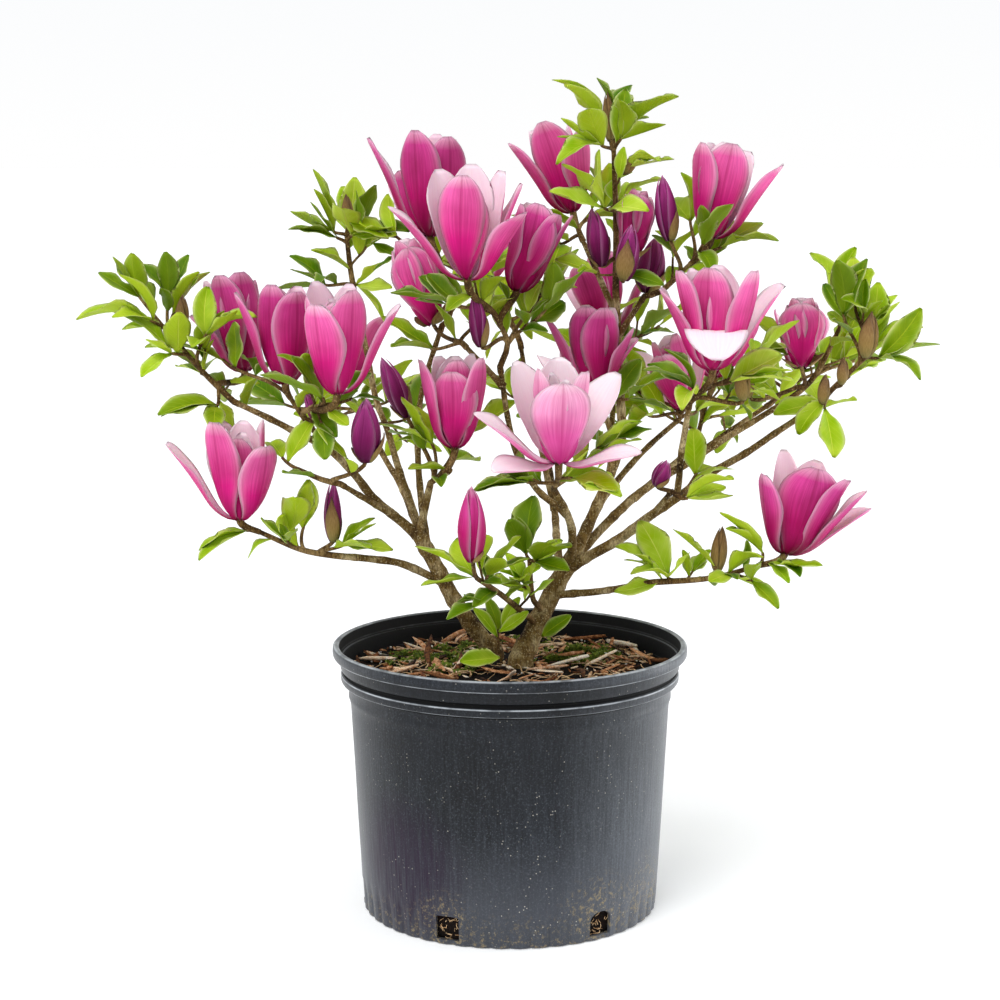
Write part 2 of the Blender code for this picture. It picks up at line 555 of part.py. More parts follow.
def kinked(points, seed):
    """The small bends that wood has at its old leaf scars, clear of the limb's ends."""
    draw = random.Random(seed)
    bent = list(points)
    for index in range(2, len(points) - 1):
        bent[index] = points[index] + Vector([draw.uniform(-KINK, KINK) for _ in range(3)])
    return bent


# Tubes

def ring_profile(sides):
    """A closed ring of straight sides that a curve is bevelled with."""
    name = f"ring_{sides}"
    if name in bpy.data.objects:
        return bpy.data.objects[name]
    curve = bpy.data.curves.new(name, "CURVE")
    curve.dimensions = "2D"
    spline = curve.splines.new("POLY")
    spline.points.add(sides - 1)
    for index, point in enumerate(spline.points):
        angle = 2 * math.pi * index / sides
        point.co = (math.cos(angle), math.sin(angle), 0.0, 1.0)
    spline.use_cyclic_u = True
    return add_object(name, curve, bpy.context.scene.collection)


def tube(points, radii, sides):
    """A closed tube of the given radius at each point."""
    curve = bpy.data.curves.new("tube", "CURVE")
    curve.dimensions = "3D"
    curve.bevel_mode = "OBJECT"
    curve.bevel_object = ring_profile(sides)
    curve.use_fill_caps = True
    spline = curve.splines.new("POLY")
    spline.points.add(len(points) - 1)
    for place, point, radius in zip(spline.points, points, radii):
        place.co = (*point, 1.0)
        place.radius = radius
    thing = add_object("tube", curve, bpy.context.scene.collection)
    mesh = evaluated_mesh(thing)
    bpy.data.objects.remove(thing, do_unlink=True)
    work = bmesh.new()
    work.from_mesh(mesh)
    bmesh.ops.remove_doubles(work, verts=work.verts, dist=1e-7)
    bpy.data.meshes.remove(mesh)
    return shape_from_bmesh(work)


def tapered(points, start, finish, power=1.0):
    return [start + (finish - start) * share**power for share in path_shares(points)]


# Booleans

def largest_body(mesh):
    """Keeps the biggest outward shell: loose scraps and sealed hollows go."""
    work = bmesh.new()
    work.from_mesh(mesh)
    bmesh.ops.triangulate(work, faces=work.faces)
    left = set(work.faces)
    bodies = []
    while left:
        body = {left.pop()}
        edge_faces = list(body)
        while edge_faces:
            face = edge_faces.pop()
            for edge in face.edges:
                for near in edge.link_faces:
                    if near in left:
                        left.remove(near)
                        body.add(near)
                        edge_faces.append(near)
        volume = sum(
            face.verts[0].co.dot(face.verts[1].co.cross(face.verts[2].co)) / 6 for face in body
        )
        bodies.append((volume, body))
    keep = max(bodies, key=lambda item: item[0])[1]
    bmesh.ops.delete(work, geom=[face for face in work.faces if face not in keep], context="FACES")
    loose = [vert for vert in work.verts if not vert.link_faces]
    bmesh.ops.delete(work, geom=loose, context="VERTS")
    work.to_mesh(mesh)
    work.free()


def closed_volume(mesh):
    """The volume of a closed mesh, or nothing where an edge is open."""
    work = bmesh.new()
    work.from_mesh(mesh)
    closed = all(edge.is_manifold for edge in work.edges)
    volume = work.calc_volume() if closed else 0.0
    work.free()
    return volume


def apply_boolean(thing, operation, others):
    """Joins or cuts an object with a collection of others, which are then removed."""
    least = closed_volume(thing.data) * LEAST_LEFT
    if operation == "UNION":
        least += sum(closed_volume(other.data) for other in others.objects) * LEAST_LEFT
    modifier = thing.modifiers.new("boolean", "BOOLEAN")
    modifier.operation = operation
    modifier.operand_type = "COLLECTION"
    modifier.collection = others
    for solver in ("EXACT", "MANIFOLD"):
        modifier.solver = solver
        mesh = evaluated_mesh(thing)
        largest_body(mesh)
        if closed_volume(mesh) > least:
            break
    thing.modifiers.clear()
    old = thing.data
    thing.data = mesh
    bpy.data.meshes.remove(old)
    for other in list(others.objects):
        bpy.data.objects.remove(other, do_unlink=True)
    bpy.data.collections.remove(others)


# Pot and potting mix

def inner_wall(inset):
    """The pot's inner side from the floor up, moved inwards by the inset."""
    return [
        (FOOT_RADIUS - WALL - inset, WALL + inset),
        (SHOULDER_RADIUS - WALL - inset, 0.1800),
        (BAND_RADIUS - WALL - inset, 0.1830 + inset),
        (BAND_RADIUS - WALL - inset, 0.2010),
    ]


def turned(name, profile, steps, collection):
    mesh = bpy.data.meshes.new(name)
    points = [(radius, 0.0, height) for radius, height in profile]
    edges = [(index, index + 1) for index in range(len(points) - 1)]
    mesh.from_pydata(points, edges, [])
    thing = add_object(name, mesh, collection)
    screw = thing.modifiers.new("turn", "SCREW")
    screw.steps = steps
    screw.render_steps = steps
    screw.use_merge_vertices = True
    screw.merge_threshold = 0.0001
    return thing


def build_pot(collection):
    rim_inner = RIM_RADIUS - RIM_LIP
    profile = [(0.0, WALL)]
    profile += inner_wall(0.0)
    profile += [
        (rim_inner, 0.2030),
        (rim_inner, POT_HEIGHT - 0.0008),
        (rim_inner + 0.0015, POT_HEIGHT),
        (RIM_RADIUS - 0.0004, POT_HEIGHT - 0.0004),
        (RIM_RADIUS, 0.2035),
        (BAND_RADIUS + 0.0012, 0.2018),
        (BAND_RADIUS, 0.1935),
        (RING_RADIUS - 0.0020, 0.1917),
        (RING_RADIUS, 0.1900),
        (RING_RADIUS, 0.1830),
        (SHOULDER_RADIUS, 0.1805),
        (FOOT_RADIUS, 0.0015),
        (FOOT_RADIUS - 0.0015, 0.0),
        (0.0, 0.0),
    ]
    pot = turned("pot", profile, POT_STEPS, collection)
    cutters = new_collection("drainage_hole_cutters")
    for index in range(HOLE_COUNT):
        angle = FIRST_HOLE + 2 * math.pi * index / HOLE_COUNT
        bpy.ops.mesh.primitive_cube_add(size=1.0)
        cutter = bpy.context.object
        cutter.name = f"drainage_hole_cutter_{index}"
        cutter.scale = (HOLE_WIDTH, 0.02, HOLE_HIGH - HOLE_LOW)
        cutter.rotation_euler = (0.0, 0.0, angle)
        cutter.location = (
            FOOT_RADIUS * math.sin(angle),
            -FOOT_RADIUS * math.cos(angle),
            (HOLE_LOW + HOLE_HIGH) / 2,
        )
        for home in list(cutter.users_collection):
            home.objects.unlink(cutter)
        cutters.objects.link(cutter)
        cutter.hide_render = True
        cutter.display_type = "WIRE"
    holes = pot.modifiers.new("drainage_holes", "BOOLEAN")
    holes.operation = "DIFFERENCE"
    holes.operand_type = "COLLECTION"
    holes.collection = cutters
    holes.solver = "EXACT"
    pot.data.materials.append(plain_material("pot", COLORS["pot"], 0.45))
    return pot


def build_potting_mix(collection):
    profile = [(0.0, WALL + GAP)]
    profile += inner_wall(GAP)[:3]
    edge_radius = profile[-1][0]
    profile += [
        (edge_radius, MIX_EDGE),
        (edge_radius * 0.85, MIX_EDGE + 0.0015),
        (edge_radius * 0.60, MIX_EDGE + 0.0030),
        (MIX_PLATEAU, MIX_TOP),
        (0.0, MIX_TOP),
    ]
    mix = turned("potting_mix", profile[::-1], MIX_STEPS, collection)
    mesh = evaluated_mesh(mix)
    mix.modifiers.clear()
    mix.data = mesh
    draw = random.Random(11)
    for vert in mesh.vertices:
        radius = math.hypot(vert.co.x, vert.co.y)
        if vert.co.z > MIX_EDGE and MIX_PLATEAU * 1.05 < radius < edge_radius * 0.95:
            vert.co.z += draw.uniform(*MIX_ROUGHNESS)
    mesh.materials.append(plain_material("potting_mix", COLORS["potting_mix"], 0.95))
    shade_round(mesh)
    return mix


# Limbs

class Wood:
    """A limb's path and radii, its solid, and the swollen copy that others are cut with."""

    def __init__(self, limb, points, radii, sides):
        self.name = limb.name
        self.points = points
        self.radii = radii
        self.shape = tube(points, radii, sides)
        beyond = points + [points[-1] + (points[-1] - points[-2]).normalized() * GAP]
        wider = [radius + GAP for radius in radii]
        self.cutter = tube(beyond, wider + [wider[-1]], sides)


def grow_limb(limb, grown):
    if limb.parent is None:
        start = Vector((*FEET[limb.name], MIX_TOP + GAP))
        first = [start, start + WORLD_UP * FOOT_STRAIGHT]
    else:
        start, _ = along(grown[limb.parent].points, limb.at)
        first = [start]
    knots = first + [Vector(knot) for knot in limb.via] + [Vector(limb.tip)]
    points = kinked(smooth_path(knots, BOUGH_SPACING), limb.name)
    radii = tapered(points, limb.root_radius, limb.tip_radius, LIMB_TAPER)
    sides = BOUGH_SIDES
    if limb.parent is None:
        sides = TRUNK_SIDES
        for index, point in enumerate(points):
            fade = max(0.0, 1.0 - (point.z - start.z) / FLARE_HEIGHT)
            radii[index] *= 1.0 + FLARE[limb.name] * fade**1.5
    return Wood(limb, points, radii, sides)


def build_limbs(collection):
    grown = {}
    for limb in LIMBS:
        wood = grow_limb(limb, grown)
        thing = shape_object(limb.name, wood.shape, collection)
        touched = [other for other in grown.values() if wood.shape.touches(other.cutter)]
        if touched:
            cutters = new_collection("cutters")
            for other in touched:
                shape_object("cutter", other.cutter, cutters)
            apply_boolean(thing, "DIFFERENCE", cutters)
        kind = "trunk" if limb.parent is None else "bough"
        thing.data.materials.append(plain_material(limb.name, COLORS[kind], 0.85))
        shade_round(thing.data)
        grown[limb.name] = wood
    return grown


# Leaves, buds and blooms

def turn_frame(direction, up):
    """Axes along a direction: across, along it, and the face that looks up."""
    forward = direction.normalized()
    normal = up - forward * up.dot(forward)
    if normal.length < 1e-4:
        normal = Vector((0.0, 1.0, 0.0)) - forward * forward.y
    normal.normalize()
    return forward.cross(normal), forward, normal


def leaf_shape(root, direction, normal, length, width, grow=0.0):
    """A blade of six faces: flat above, with its midrib as a keel below, and a drooping tip."""
    across, forward, face = turn_frame(direction, normal)
    work = ball(3, 2)
    belt = [vert for vert in work.verts if abs(vert.co.z) < 0.5]
    keel, *edges = sorted(belt, key=lambda vert: vert.co.x)
    for vert in work.verts:
        if abs(vert.co.z) > 0.5:
            share = 0.0 if vert.co.z < 0 else 1.0
            droop = LEAF_DROOP * length * share
            vert.co = root + forward * ((length + grow) * share) - face * droop
    for vert, side in zip(edges, (-1.0, 1.0)):
        half_width = side * (width / 2 + grow)
        vert.co = root + forward * (LEAF_WIDEST * length) + across * half_width + face * grow
    keel.co = root + forward * (LEAF_WIDEST * length) - face * (LEAF_THICKNESS + grow)
    return shape_from_bmesh(work)


def lean_axis(right, front):
    """The direction of a bloom that leans right and to the front by these degrees."""
    return Vector((math.tan(math.radians(right)), -math.tan(math.radians(front)), 1.0)).normalized()


def bud_shape(bud, grow=0.0):
    axis = lean_axis(bud.right, bud.front)
    across, forward, face = turn_frame(axis, FLOWER_FACE)
    base = Vector(bud.base) - axis * BUD_SINK
    work = ball(BUD_SIDES, BUD_RINGS)
    for vert in work.verts:
        ring = round(math.acos(max(-1.0, min(1.0, -vert.co.z))) / math.pi * BUD_RINGS)
        flat = math.hypot(vert.co.x, vert.co.y)
        radius = BUD_GIRTH[ring] * (bud.width / 2 + grow)
        side = vert.co.x / flat * radius if flat > 1e-6 else 0.0
        top = vert.co.y / flat * radius if flat > 1e-6 else 0.0
        up = BUD_RISE[ring] * (bud.length + grow)
        vert.co = base + forward * up + across * side + face * top
    return shape_from_bmesh(work)


def bloom_axes(bloom):
    axis = lean_axis(bloom.right, bloom.front)
    return turn_frame(axis, FLOWER_FACE)


def tepal_tilt(share, lean, curl):
    """The angle from the bloom's axis: a round belly at the foot, then the lean, then the curl."""
    belly = BELLY * max(0.0, 1.0 - share / BELLY_END) ** 1.2
    end = curl * max(0.0, (share - BELLY_END) / (1.0 - BELLY_END)) ** 1.4
    return math.radians(lean + belly + end)


def tepal_line(length, lean, curl, steps=24):
    """The midrib's points as distances from the bloom's axis and along it."""
    line = [(RECEPTACLE, 0.0)]
    for step in range(steps):
        tilt = tepal_tilt((step + 0.5) / steps, lean, curl)
        out, up = line[-1]
        line.append((out + math.sin(tilt) * length / steps, up + math.cos(tilt) * length / steps))
    return line


def tepal_width(share):
    """The blade's width at a share of its length: a narrow foot, widest past the middle."""
    return math.sin(math.pi * (0.05 + 0.95 * share) ** 1.6) ** 0.58 if 0.0 < share < 1.0 else 0.0


def aimed_row(turn, out, rise, width, curl):
    """The row of a tepal whose tip is this far out and up from the bloom's foot, in millimetres."""
    line = tepal_line(1.0, 0.0, curl)
    across, up = line[-1][0] - RECEPTACLE, line[-1][1]
    out_left = out / 1000 - RECEPTACLE
    length = math.hypot(out_left, rise / 1000) / math.hypot(across, up)
    lean = math.degrees(math.atan2(out_left, rise / 1000) - math.atan2(across, up))
    return turn, length, width / 1000 * TEPAL_SLIMMER, lean, curl


def tepal_rows(bloom):
    """The turn, length, width, lean and curl of each tepal: three erect, three that spread."""
    if bloom.shape:
        return [aimed_row(*row) for row in SHAPES[bloom.shape]]
    draw = random.Random(f"{bloom.base}")
    rows = []
    for index in range(6):
        share, width, lean_closed, lean_open, curl_closed, curl_open = WHORLS[index % 2]
        lean = lean_closed + (lean_open - lean_closed) * bloom.opening + draw.uniform(-2, 2)
        curl = curl_closed + (curl_open - curl_closed) * bloom.opening + draw.uniform(-3, 3)
        length = bloom.length * share * draw.uniform(0.96, 1.02)
        rows.append((bloom.turn + 60.0 * index, length, bloom.length * width, lean, curl))
    return rows


def bloom_spin(rows):
    """The turn of the six even places that lie nearest to the tepals' own turns."""
    sine = sum(math.sin(math.radians(6 * row[0])) for row in rows)
    cosine = sum(math.cos(math.radians(6 * row[0])) for row in rows)
    return math.atan2(sine, cosine) / 6


def receptacle():
    """A small drum of six sides that alternate: three look up, three look down."""
    work = ball(4, 2)
    face_up = Vector((1.0, 1.0, 1.0)).rotation_difference(Vector((0.0, 0.0, 1.0))).to_matrix()
    for vert in work.verts:
        vert.co = face_up @ vert.co
    work.normal_update()
    caps = [face for face in work.faces if abs(face.normal.z) > 0.9]
    for edge in {edge for cap in caps for edge in cap.edges}:
        bmesh.utils.edge_split(edge, edge.verts[0], 0.5)
    for vert in work.verts:
        around = math.atan2(vert.co.x, vert.co.y)
        level = math.copysign(RECEPTACLE, vert.co.z)
        vert.co = (math.sin(around) * RECEPTACLE, math.cos(around) * RECEPTACLE, level)
    work.normal_update()
    return work


def bloom_shape(bloom, grow=0.0):
    """A receptacle whose six sides are drawn out into thin, cupped tepals."""
    across, forward, face = bloom_axes(bloom)
    base = Vector(bloom.base)
    work = receptacle()
    sides = [side for side in work.faces if abs(side.normal.z) < 0.9]
    rising = next(side for side in sides if side.normal.z > 0.0).normal
    measured = tepal_rows(bloom)
    first_turn = bloom_spin(measured)
    spin = first_turn - math.atan2(rising.x, rising.y)
    for vert in work.verts:
        around = math.atan2(vert.co.x, vert.co.y) + spin
        out = math.hypot(vert.co.x, vert.co.y)
        out_way = across * math.sin(around) + face * math.cos(around)
        vert.co = base + out_way * out + forward * vert.co.z
    work.normal_update()

    def place_round(direction):
        around = math.atan2(direction.dot(across), direction.dot(face))
        return (around - first_turn + math.pi / 6) % (2 * math.pi)

    rows = []
    sides.sort(key=lambda side: place_round(side.calc_center_median() - base))
    for turn, *sizes in measured:
        around = math.radians(turn)
        out_way = across * math.sin(around) + face * math.cos(around)
        rows.append((place_round(out_way), out_way, sizes))
    rows.sort(key=lambda row: row[0])
    rows = [(out_way, side, sizes) for (_, out_way, sizes), side in zip(rows, sides)]
    for out_way, side, (length, width, lean, curl) in rows:
        side_way = forward.cross(out_way)
        line = tepal_line(length, lean, curl)
        inward = forward
        for share in TEPAL_SHARES:
            side = bmesh.ops.extrude_discrete_faces(work, faces=[side])["faces"][0]
            out, up = line[round(share * (len(line) - 1))]
            tilt = tepal_tilt(min(share, 0.999), lean, curl)
            outward = out_way * math.cos(tilt) - forward * math.sin(tilt)
            middle = base + out_way * out + forward * up
            half = min(tepal_width(share) * width / 2, out * TEPAL_SECTOR)
            if share == 1.0:
                bmesh.ops.pointmerge(work, verts=list(side.verts), merge_co=middle)
                break
            left, *ridge, right = sorted(side.verts, key=lambda vert: vert.co.dot(side_way))
            back, front = sorted(ridge, key=lambda vert: vert.co.dot(inward))
            left.co = middle - side_way * (half + grow) - outward * (half * TEPAL_CUP)
            right.co = middle + side_way * (half + grow) - outward * (half * TEPAL_CUP)
            back.co = middle + outward * (TEPAL_THICKNESS / 2 + grow)
            front.co = middle - outward * (TEPAL_THICKNESS / 2 + grow)
            inward = -outward
    return shape_from_bmesh(work)


# Masses of foliage

class Growth:
    """What a mass is made of so far."""

    def __init__(self, mass):
        self.mass = mass
        self.wood = []
        self.sprigs = []
        self.flowers = []
        self.leaves = []
        self.aims = {}

    def solids(self):
        return self.wood + self.flowers + self.leaves


def stem_start(mass, grown):
    """Where the stem meets its limb, and the direction in which it leaves."""
    limb = grown[mass.limb]
    if mass.at >= 1.0:
        way = (limb.points[-1] - limb.points[-2]).normalized()
        return limb.points[-1] + way * GAP, way, limb.radii[-1]
    place, tangent = along(limb.points, mass.at)
    toward = Vector(mass.stem[0]) - place
    way = (toward - tangent * toward.dot(tangent)).normalized()
    across, _, face = turn_frame(way, tangent)
    reach = 0.0
    for step in range(8):
        turn = math.pi * step / 4
        edge = place + (across * math.cos(turn) + face * math.sin(turn)) * STALK_RADIUS
        reach = max(reach, limb.shape.tree.ray_cast(edge, way)[3])
    return place + way * (reach + GAP), way, STALK_RADIUS


def take_off(paths, tip):
    """The place on the paths from which a twig reaches the tip with the least bending back."""
    best = None
    for path in paths:
        for share in FORKS:
            place, tangent = along(path, share)
            way = tip - place
            if way.length < SHORTEST_TWIG:
                continue
            cost = way.length * (1.0 + LEAN_COST * (1.0 - tangent.dot(way.normalized())))
            if best is None or cost < best[0]:
                best = (cost, place, tangent)
    return best[1], best[2]


def sprig_path(place, tangent, tip, arrive):
    """A twig's path, which leaves along its carrier and ends in the given direction."""
    reach = (tip - place).length
    steps = 1 if reach < SHORT_SPRIG else 2
    points = []
    for step in range(steps + 1):
        t = step / steps
        points.append(
            place * (1 - t) ** 3
            + (place + tangent * reach * TWIG_SWING) * (3 * t * (1 - t) ** 2)
            + (tip - arrive * reach * TWIG_SWING) * (3 * t**2 * (1 - t))
            + tip * t**3
        )
    return points


def add_sprig(growth, kind, paths, tip, arrive, start_radius, end_radius, walls):
    """Adds a twig unless it would touch a limb, a bloom or another mass, and tells if it did."""
    place, tangent = take_off(paths, tip)
    path = sprig_path(place, tangent, tip, arrive)
    radii = tapered(path, start_radius, end_radius)
    wide = tube(path, [radius + LEAF_CLEARANCE / 2 for radius in radii], TWIG_SIDES)
    if any(wide.touches(wall) for wall in walls + growth.flowers):
        return False
    growth.wood.append(tube(path, radii, TWIG_SIDES))
    growth.sprigs.append((kind, path, growth.wood[-1]))
    return True


def grow_frame(growth, grown, walls):
    """The stem, the twigs with blooms and buds, and the leafy twigs."""
    mass = growth.mass
    start, way, radius = stem_start(mass, grown)
    knots = [start, start + way * STEM_FOOT] + [Vector(knot) for knot in mass.stem]
    stem = smooth_path(knots, STEM_SPACING)
    radii = tapered(stem, min(radius, STEM_RADIUS), STEM_TIP_RADIUS)
    growth.wood.append(tube(stem, radii, STEM_SIDES))
    growth.sprigs.append(("stem", stem, growth.wood[-1]))
    paths = [stem]
    for bloom in mass.blooms:
        axis = lean_axis(bloom.right, bloom.front)
        base = Vector(bloom.base)
        if any(bloom_shape(bloom, TEPAL_CLEARANCE).touches(wall) for wall in walls):
            continue
        if add_sprig(growth, "bloom", paths, base, axis, STALK_RADIUS, STALK_TIP_RADIUS, walls):
            growth.flowers.append(bloom_shape(bloom))
    for bud in mass.buds:
        axis = lean_axis(bud.right, bud.front)
        base = Vector(bud.base)
        if any(bud_shape(bud, LEAF_CLEARANCE).touches(wall) for wall in walls):
            continue
        if add_sprig(growth, "bud", paths, base, axis, TWIG_RADIUS, TWIG_RADIUS, walls):
            growth.flowers.append(bud_shape(bud))
    draw = random.Random(mass.name)
    middle = sum((Vector(knot) for knot in mass.stem), Vector()) / len(mass.stem)
    tips = []
    for tuft in mass.tufts:
        if len(tuft) == 2:
            tips.append((Vector(tuft[0]), Vector(tuft[1])))
        else:
            tips.append((Vector(tuft), None))
    for index in range(mass.extra):
        angle = GOLDEN_ANGLE * index + draw.uniform(0.0, 1.5)
        rise = draw.uniform(*TWIG_RISE)
        flat = math.sqrt(max(0.0, 1.0 - rise * rise))
        way = Vector((math.cos(angle) * flat, math.sin(angle) * flat, rise))
        tips.append((middle + way * mass.reach * draw.uniform(*TWIG_REACH), None))
    for tip, leaf_tip in tips:
        place, _ = take_off(paths, tip)
        arrive = ((tip - place).normalized() + TWIG_LIFT).normalized()
        if leaf_tip is not None:
            arrive = ((tip - place).normalized() + (leaf_tip - tip).normalized()).normalized()
        grown_well = add_sprig(growth, "leafy", paths, tip, arrive, TWIG_RADIUS, TWIG_TIP_RADIUS, walls)
        if grown_well and leaf_tip is not None:
            growth.aims[len(growth.sprigs) - 1] = leaf_tip


def leaf_places(kind, path, twig, aim, draw):
    """The leaves along one twig: place, direction, face and length, by a golden-angle rule."""
    if aim is not None:
        place, tangent = along(path, AIMED_SHARE)
        yield place, (aim - place).normalized(), WORLD_UP, (aim - place).length
    length = sum((b - a).length for a, b in zip(path, path[1:]))
    angle = draw.uniform(0.0, 2 * math.pi)
    reach = LEAFY_REACH[kind]
    count = round(length / NODE_SPACING)
    shares = [BARE_FOOT + (reach - BARE_FOOT) * (index + 0.5) / count for index in range(count)]
    ends = [END_SHARES[0]] if aim is not None else END_SHARES if kind == "leafy" else []
    for index, share in enumerate(shares + list(ends)):
        angle += GOLDEN_ANGLE
        place, tangent = along(path, share)
        across, forward, face = turn_frame(tangent, WORLD_UP)
        at_tip = index >= len(shares)
        spread = math.radians(draw.uniform(*(TIP_SPREAD if at_tip else SIDE_SPREAD)))
        out = across * math.cos(angle) + face * math.sin(angle)
        _, side, _, _ = twig.tree.ray_cast(place, out)
        out = side or out
        way = forward * math.cos(spread) + out * math.sin(spread) + WORLD_UP * LEAF_RISE
        size = LEAF_LENGTH * (1.0 + draw.uniform(-LEAF_SPREAD, LEAF_SPREAD))
        size *= 1.0 if at_tip else SIDE_LEAF
        roll = Vector((draw.uniform(-LEAF_ROLL, LEAF_ROLL), draw.uniform(-LEAF_ROLL, LEAF_ROLL), 0.0))
        up = WORLD_UP + roll + tangent * LEAF_FACING
        yield place, way.normalized(), up.normalized(), size


def grow_leaves(growth, walls, others):
    """Leaves on every twig, apart from those that would touch a limb or another mass."""
    draw = random.Random(growth.mass.name + "_leaves")
    for index, (kind, path, twig) in enumerate(growth.sprigs):
        for place, way, up, size in leaf_places(kind, path, twig, growth.aims.get(index), draw):
            width = size * LEAF_WIDTH * draw.uniform(*WIDTH_SPREAD)
            wide = leaf_shape(place, way, up, size, width, LEAF_CLEARANCE)
            if wide.low.z < MIX_TOP + LEAF_ABOVE_MIX:
                continue
            if any(wide.touches(thing) for thing in growth.flowers):
                continue
            if any(wide.touches(wall) for wall in walls):
                continue
            if any(wide.touches(leaf) for other in others for leaf in other.leaves):
                continue
            blade = leaf_shape(place + way * (size * LEAF_ROOT), way, up, size * (1.0 - LEAF_ROOT), width)
            if any(blade.touches(solid) for solid in growth.leaves + growth.wood):
                continue
            growth.leaves.append(leaf_shape(place, way, up, size, width))


def join_growth(growth, collection):
    """One Boolean union makes the mass a single solid."""
    solids = growth.solids()
    thing = shape_object(growth.mass.name, solids[0], collection)
    parts = new_collection(growth.mass.name + "_parts")
    for solid in solids[1:]:
        shape_object("part", solid, parts)
    apply_boolean(thing, "UNION", parts)
    thing.data.materials.append(plain_material(growth.mass.name, COLORS["foliage"], 0.6))
    shade_round(thing.data)


def build_masses(grown, collection):
    wood_walls = [wood.shape for wood in grown.values()]
    growths = []
    for mass in MASSES:
        growth = Growth(mass)
        walls = wood_walls + [solid for other in growths for solid in other.solids()]
        grow_frame(growth, grown, walls)
        growths.append(growth)
    for growth in growths:
        others = [other for other in growths if other is not growth]
        walls = wood_walls + [solid for other in others for solid in other.wood + other.flowers]
        grow_leaves(growth, walls, others)
    for growth in growths:
        join_growth(growth, collection)


def remove_profiles():
    for thing in [thing for thing in bpy.data.objects if thing.type == "CURVE"]:
        bpy.data.objects.remove(thing, do_unlink=True)


def main():
    clear_scene()
    collection = new_collection("potted_jane_magnolia")
    grown = build_limbs(collection)
    build_masses(grown, collection)
    remove_profiles()
    build_potting_mix(collection)
    build_pot(collection)


main()
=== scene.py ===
"""Looks for a jane magnolia in its black nursery pot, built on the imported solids.

Metres, +Z up, and the front looks to -Y. The limbs and the masses of foliage follow the
same named sizes as the solids. Each mass becomes a stem, twigs, finer twigs and leaves,
with the blooms and buds that its twigs carry. The pot and the potting mix get their own
detailed meshes.
"""

import json
import math
import random
from collections import namedtuple

import bmesh
import bpy
import numpy as np
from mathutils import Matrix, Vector, noise
from mathutils.bvhtree import BVHTree

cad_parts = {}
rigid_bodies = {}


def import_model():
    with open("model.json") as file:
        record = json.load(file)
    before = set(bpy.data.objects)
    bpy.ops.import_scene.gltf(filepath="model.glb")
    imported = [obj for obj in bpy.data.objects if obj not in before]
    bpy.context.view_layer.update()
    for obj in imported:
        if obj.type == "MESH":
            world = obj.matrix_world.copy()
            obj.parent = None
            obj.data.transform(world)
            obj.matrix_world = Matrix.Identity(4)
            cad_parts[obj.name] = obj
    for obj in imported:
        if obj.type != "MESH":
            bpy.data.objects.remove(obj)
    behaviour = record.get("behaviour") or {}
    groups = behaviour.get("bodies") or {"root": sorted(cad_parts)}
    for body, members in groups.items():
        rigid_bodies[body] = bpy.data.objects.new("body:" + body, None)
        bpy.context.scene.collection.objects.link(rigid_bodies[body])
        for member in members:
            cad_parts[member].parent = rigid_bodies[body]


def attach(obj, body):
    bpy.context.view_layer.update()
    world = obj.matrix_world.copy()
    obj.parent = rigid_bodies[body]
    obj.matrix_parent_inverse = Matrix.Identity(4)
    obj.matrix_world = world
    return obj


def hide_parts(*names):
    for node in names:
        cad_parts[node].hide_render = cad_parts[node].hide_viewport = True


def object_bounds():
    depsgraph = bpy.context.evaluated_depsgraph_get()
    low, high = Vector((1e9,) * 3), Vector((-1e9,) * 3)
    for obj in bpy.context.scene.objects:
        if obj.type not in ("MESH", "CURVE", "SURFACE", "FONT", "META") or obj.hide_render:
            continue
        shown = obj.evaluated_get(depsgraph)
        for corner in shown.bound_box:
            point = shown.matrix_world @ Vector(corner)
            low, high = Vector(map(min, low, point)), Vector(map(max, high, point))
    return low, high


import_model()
cad_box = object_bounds()

# Camera: its place, its pitch in degrees, its focal length in pixels of a 1000 pixel frame
CAMERA_PLACE = (-0.0078, -1.781, 0.5997)
CAMERA_PITCH = 8.75
FOCAL_PIXELS = 2300.0
FRAME_PIXELS = 1000.0
SENSOR_WIDTH = 36.0
NEAR_CLIP = 0.05
FAR_CLIP = 60.0

# Sizes shared with the solids
GAP = 0.0003
POT_HEIGHT = 0.212
RIM_RADIUS = 0.140
RIM_LIP = 0.0055
BAND_RADIUS = 0.1338
RING_RADIUS = 0.1333
SHOULDER_RADIUS = 0.1278
FOOT_RADIUS = 0.117
WALL = 0.003
HOLE_COUNT = 6
HOLE_WIDTH = 0.019
HOLE_LOW = 0.004
HOLE_HIGH = 0.023
FIRST_HOLE = math.radians(-24.0)
MIX_EDGE = 0.190
MIX_TOP = 0.196
FLARE_HEIGHT = 0.022
BOUGH_SPACING = 0.030
STEM_SPACING = 0.030
KINK = 0.0009
TWIG_RADIUS = 0.0016
TWIG_TIP_RADIUS = 0.0012
STALK_RADIUS = 0.0022
STALK_TIP_RADIUS = 0.0030
STEM_TIP_RADIUS = 0.0018
LEAN_COST = 0.9
LEAF_LENGTH = 0.047
LEAF_SPREAD = 0.24
LEAF_WIDTH = 0.46
LEAF_RISE = 0.22
SIDE_LEAF = 0.84
TIP_SPREAD = (20.0, 46.0)
SIDE_SPREAD = (45.0, 72.0)
AIMED_SHARE = 0.97
RECEPTACLE = 0.0042
CLOSED_BLOOM = 0.029
OPEN_TULIP = 0.034
BRACT_SIDE = 70.0
# A bud narrower than this is still brown, and so is every bud of these masses
BROWN_BUD = 0.0095
BROWN_BUD_MASSES = ("foliage_right_tip", "foliage_right_mid", "foliage_right_low")
# Masses whose buds are all but bare, and the feet of the buds that bracts mostly cover
BARE_BUD_MASSES = ("foliage_center_left",)
COVERED_BUDS = ((0.087, -0.018, 0.500), (-0.135, -0.045, 0.302))

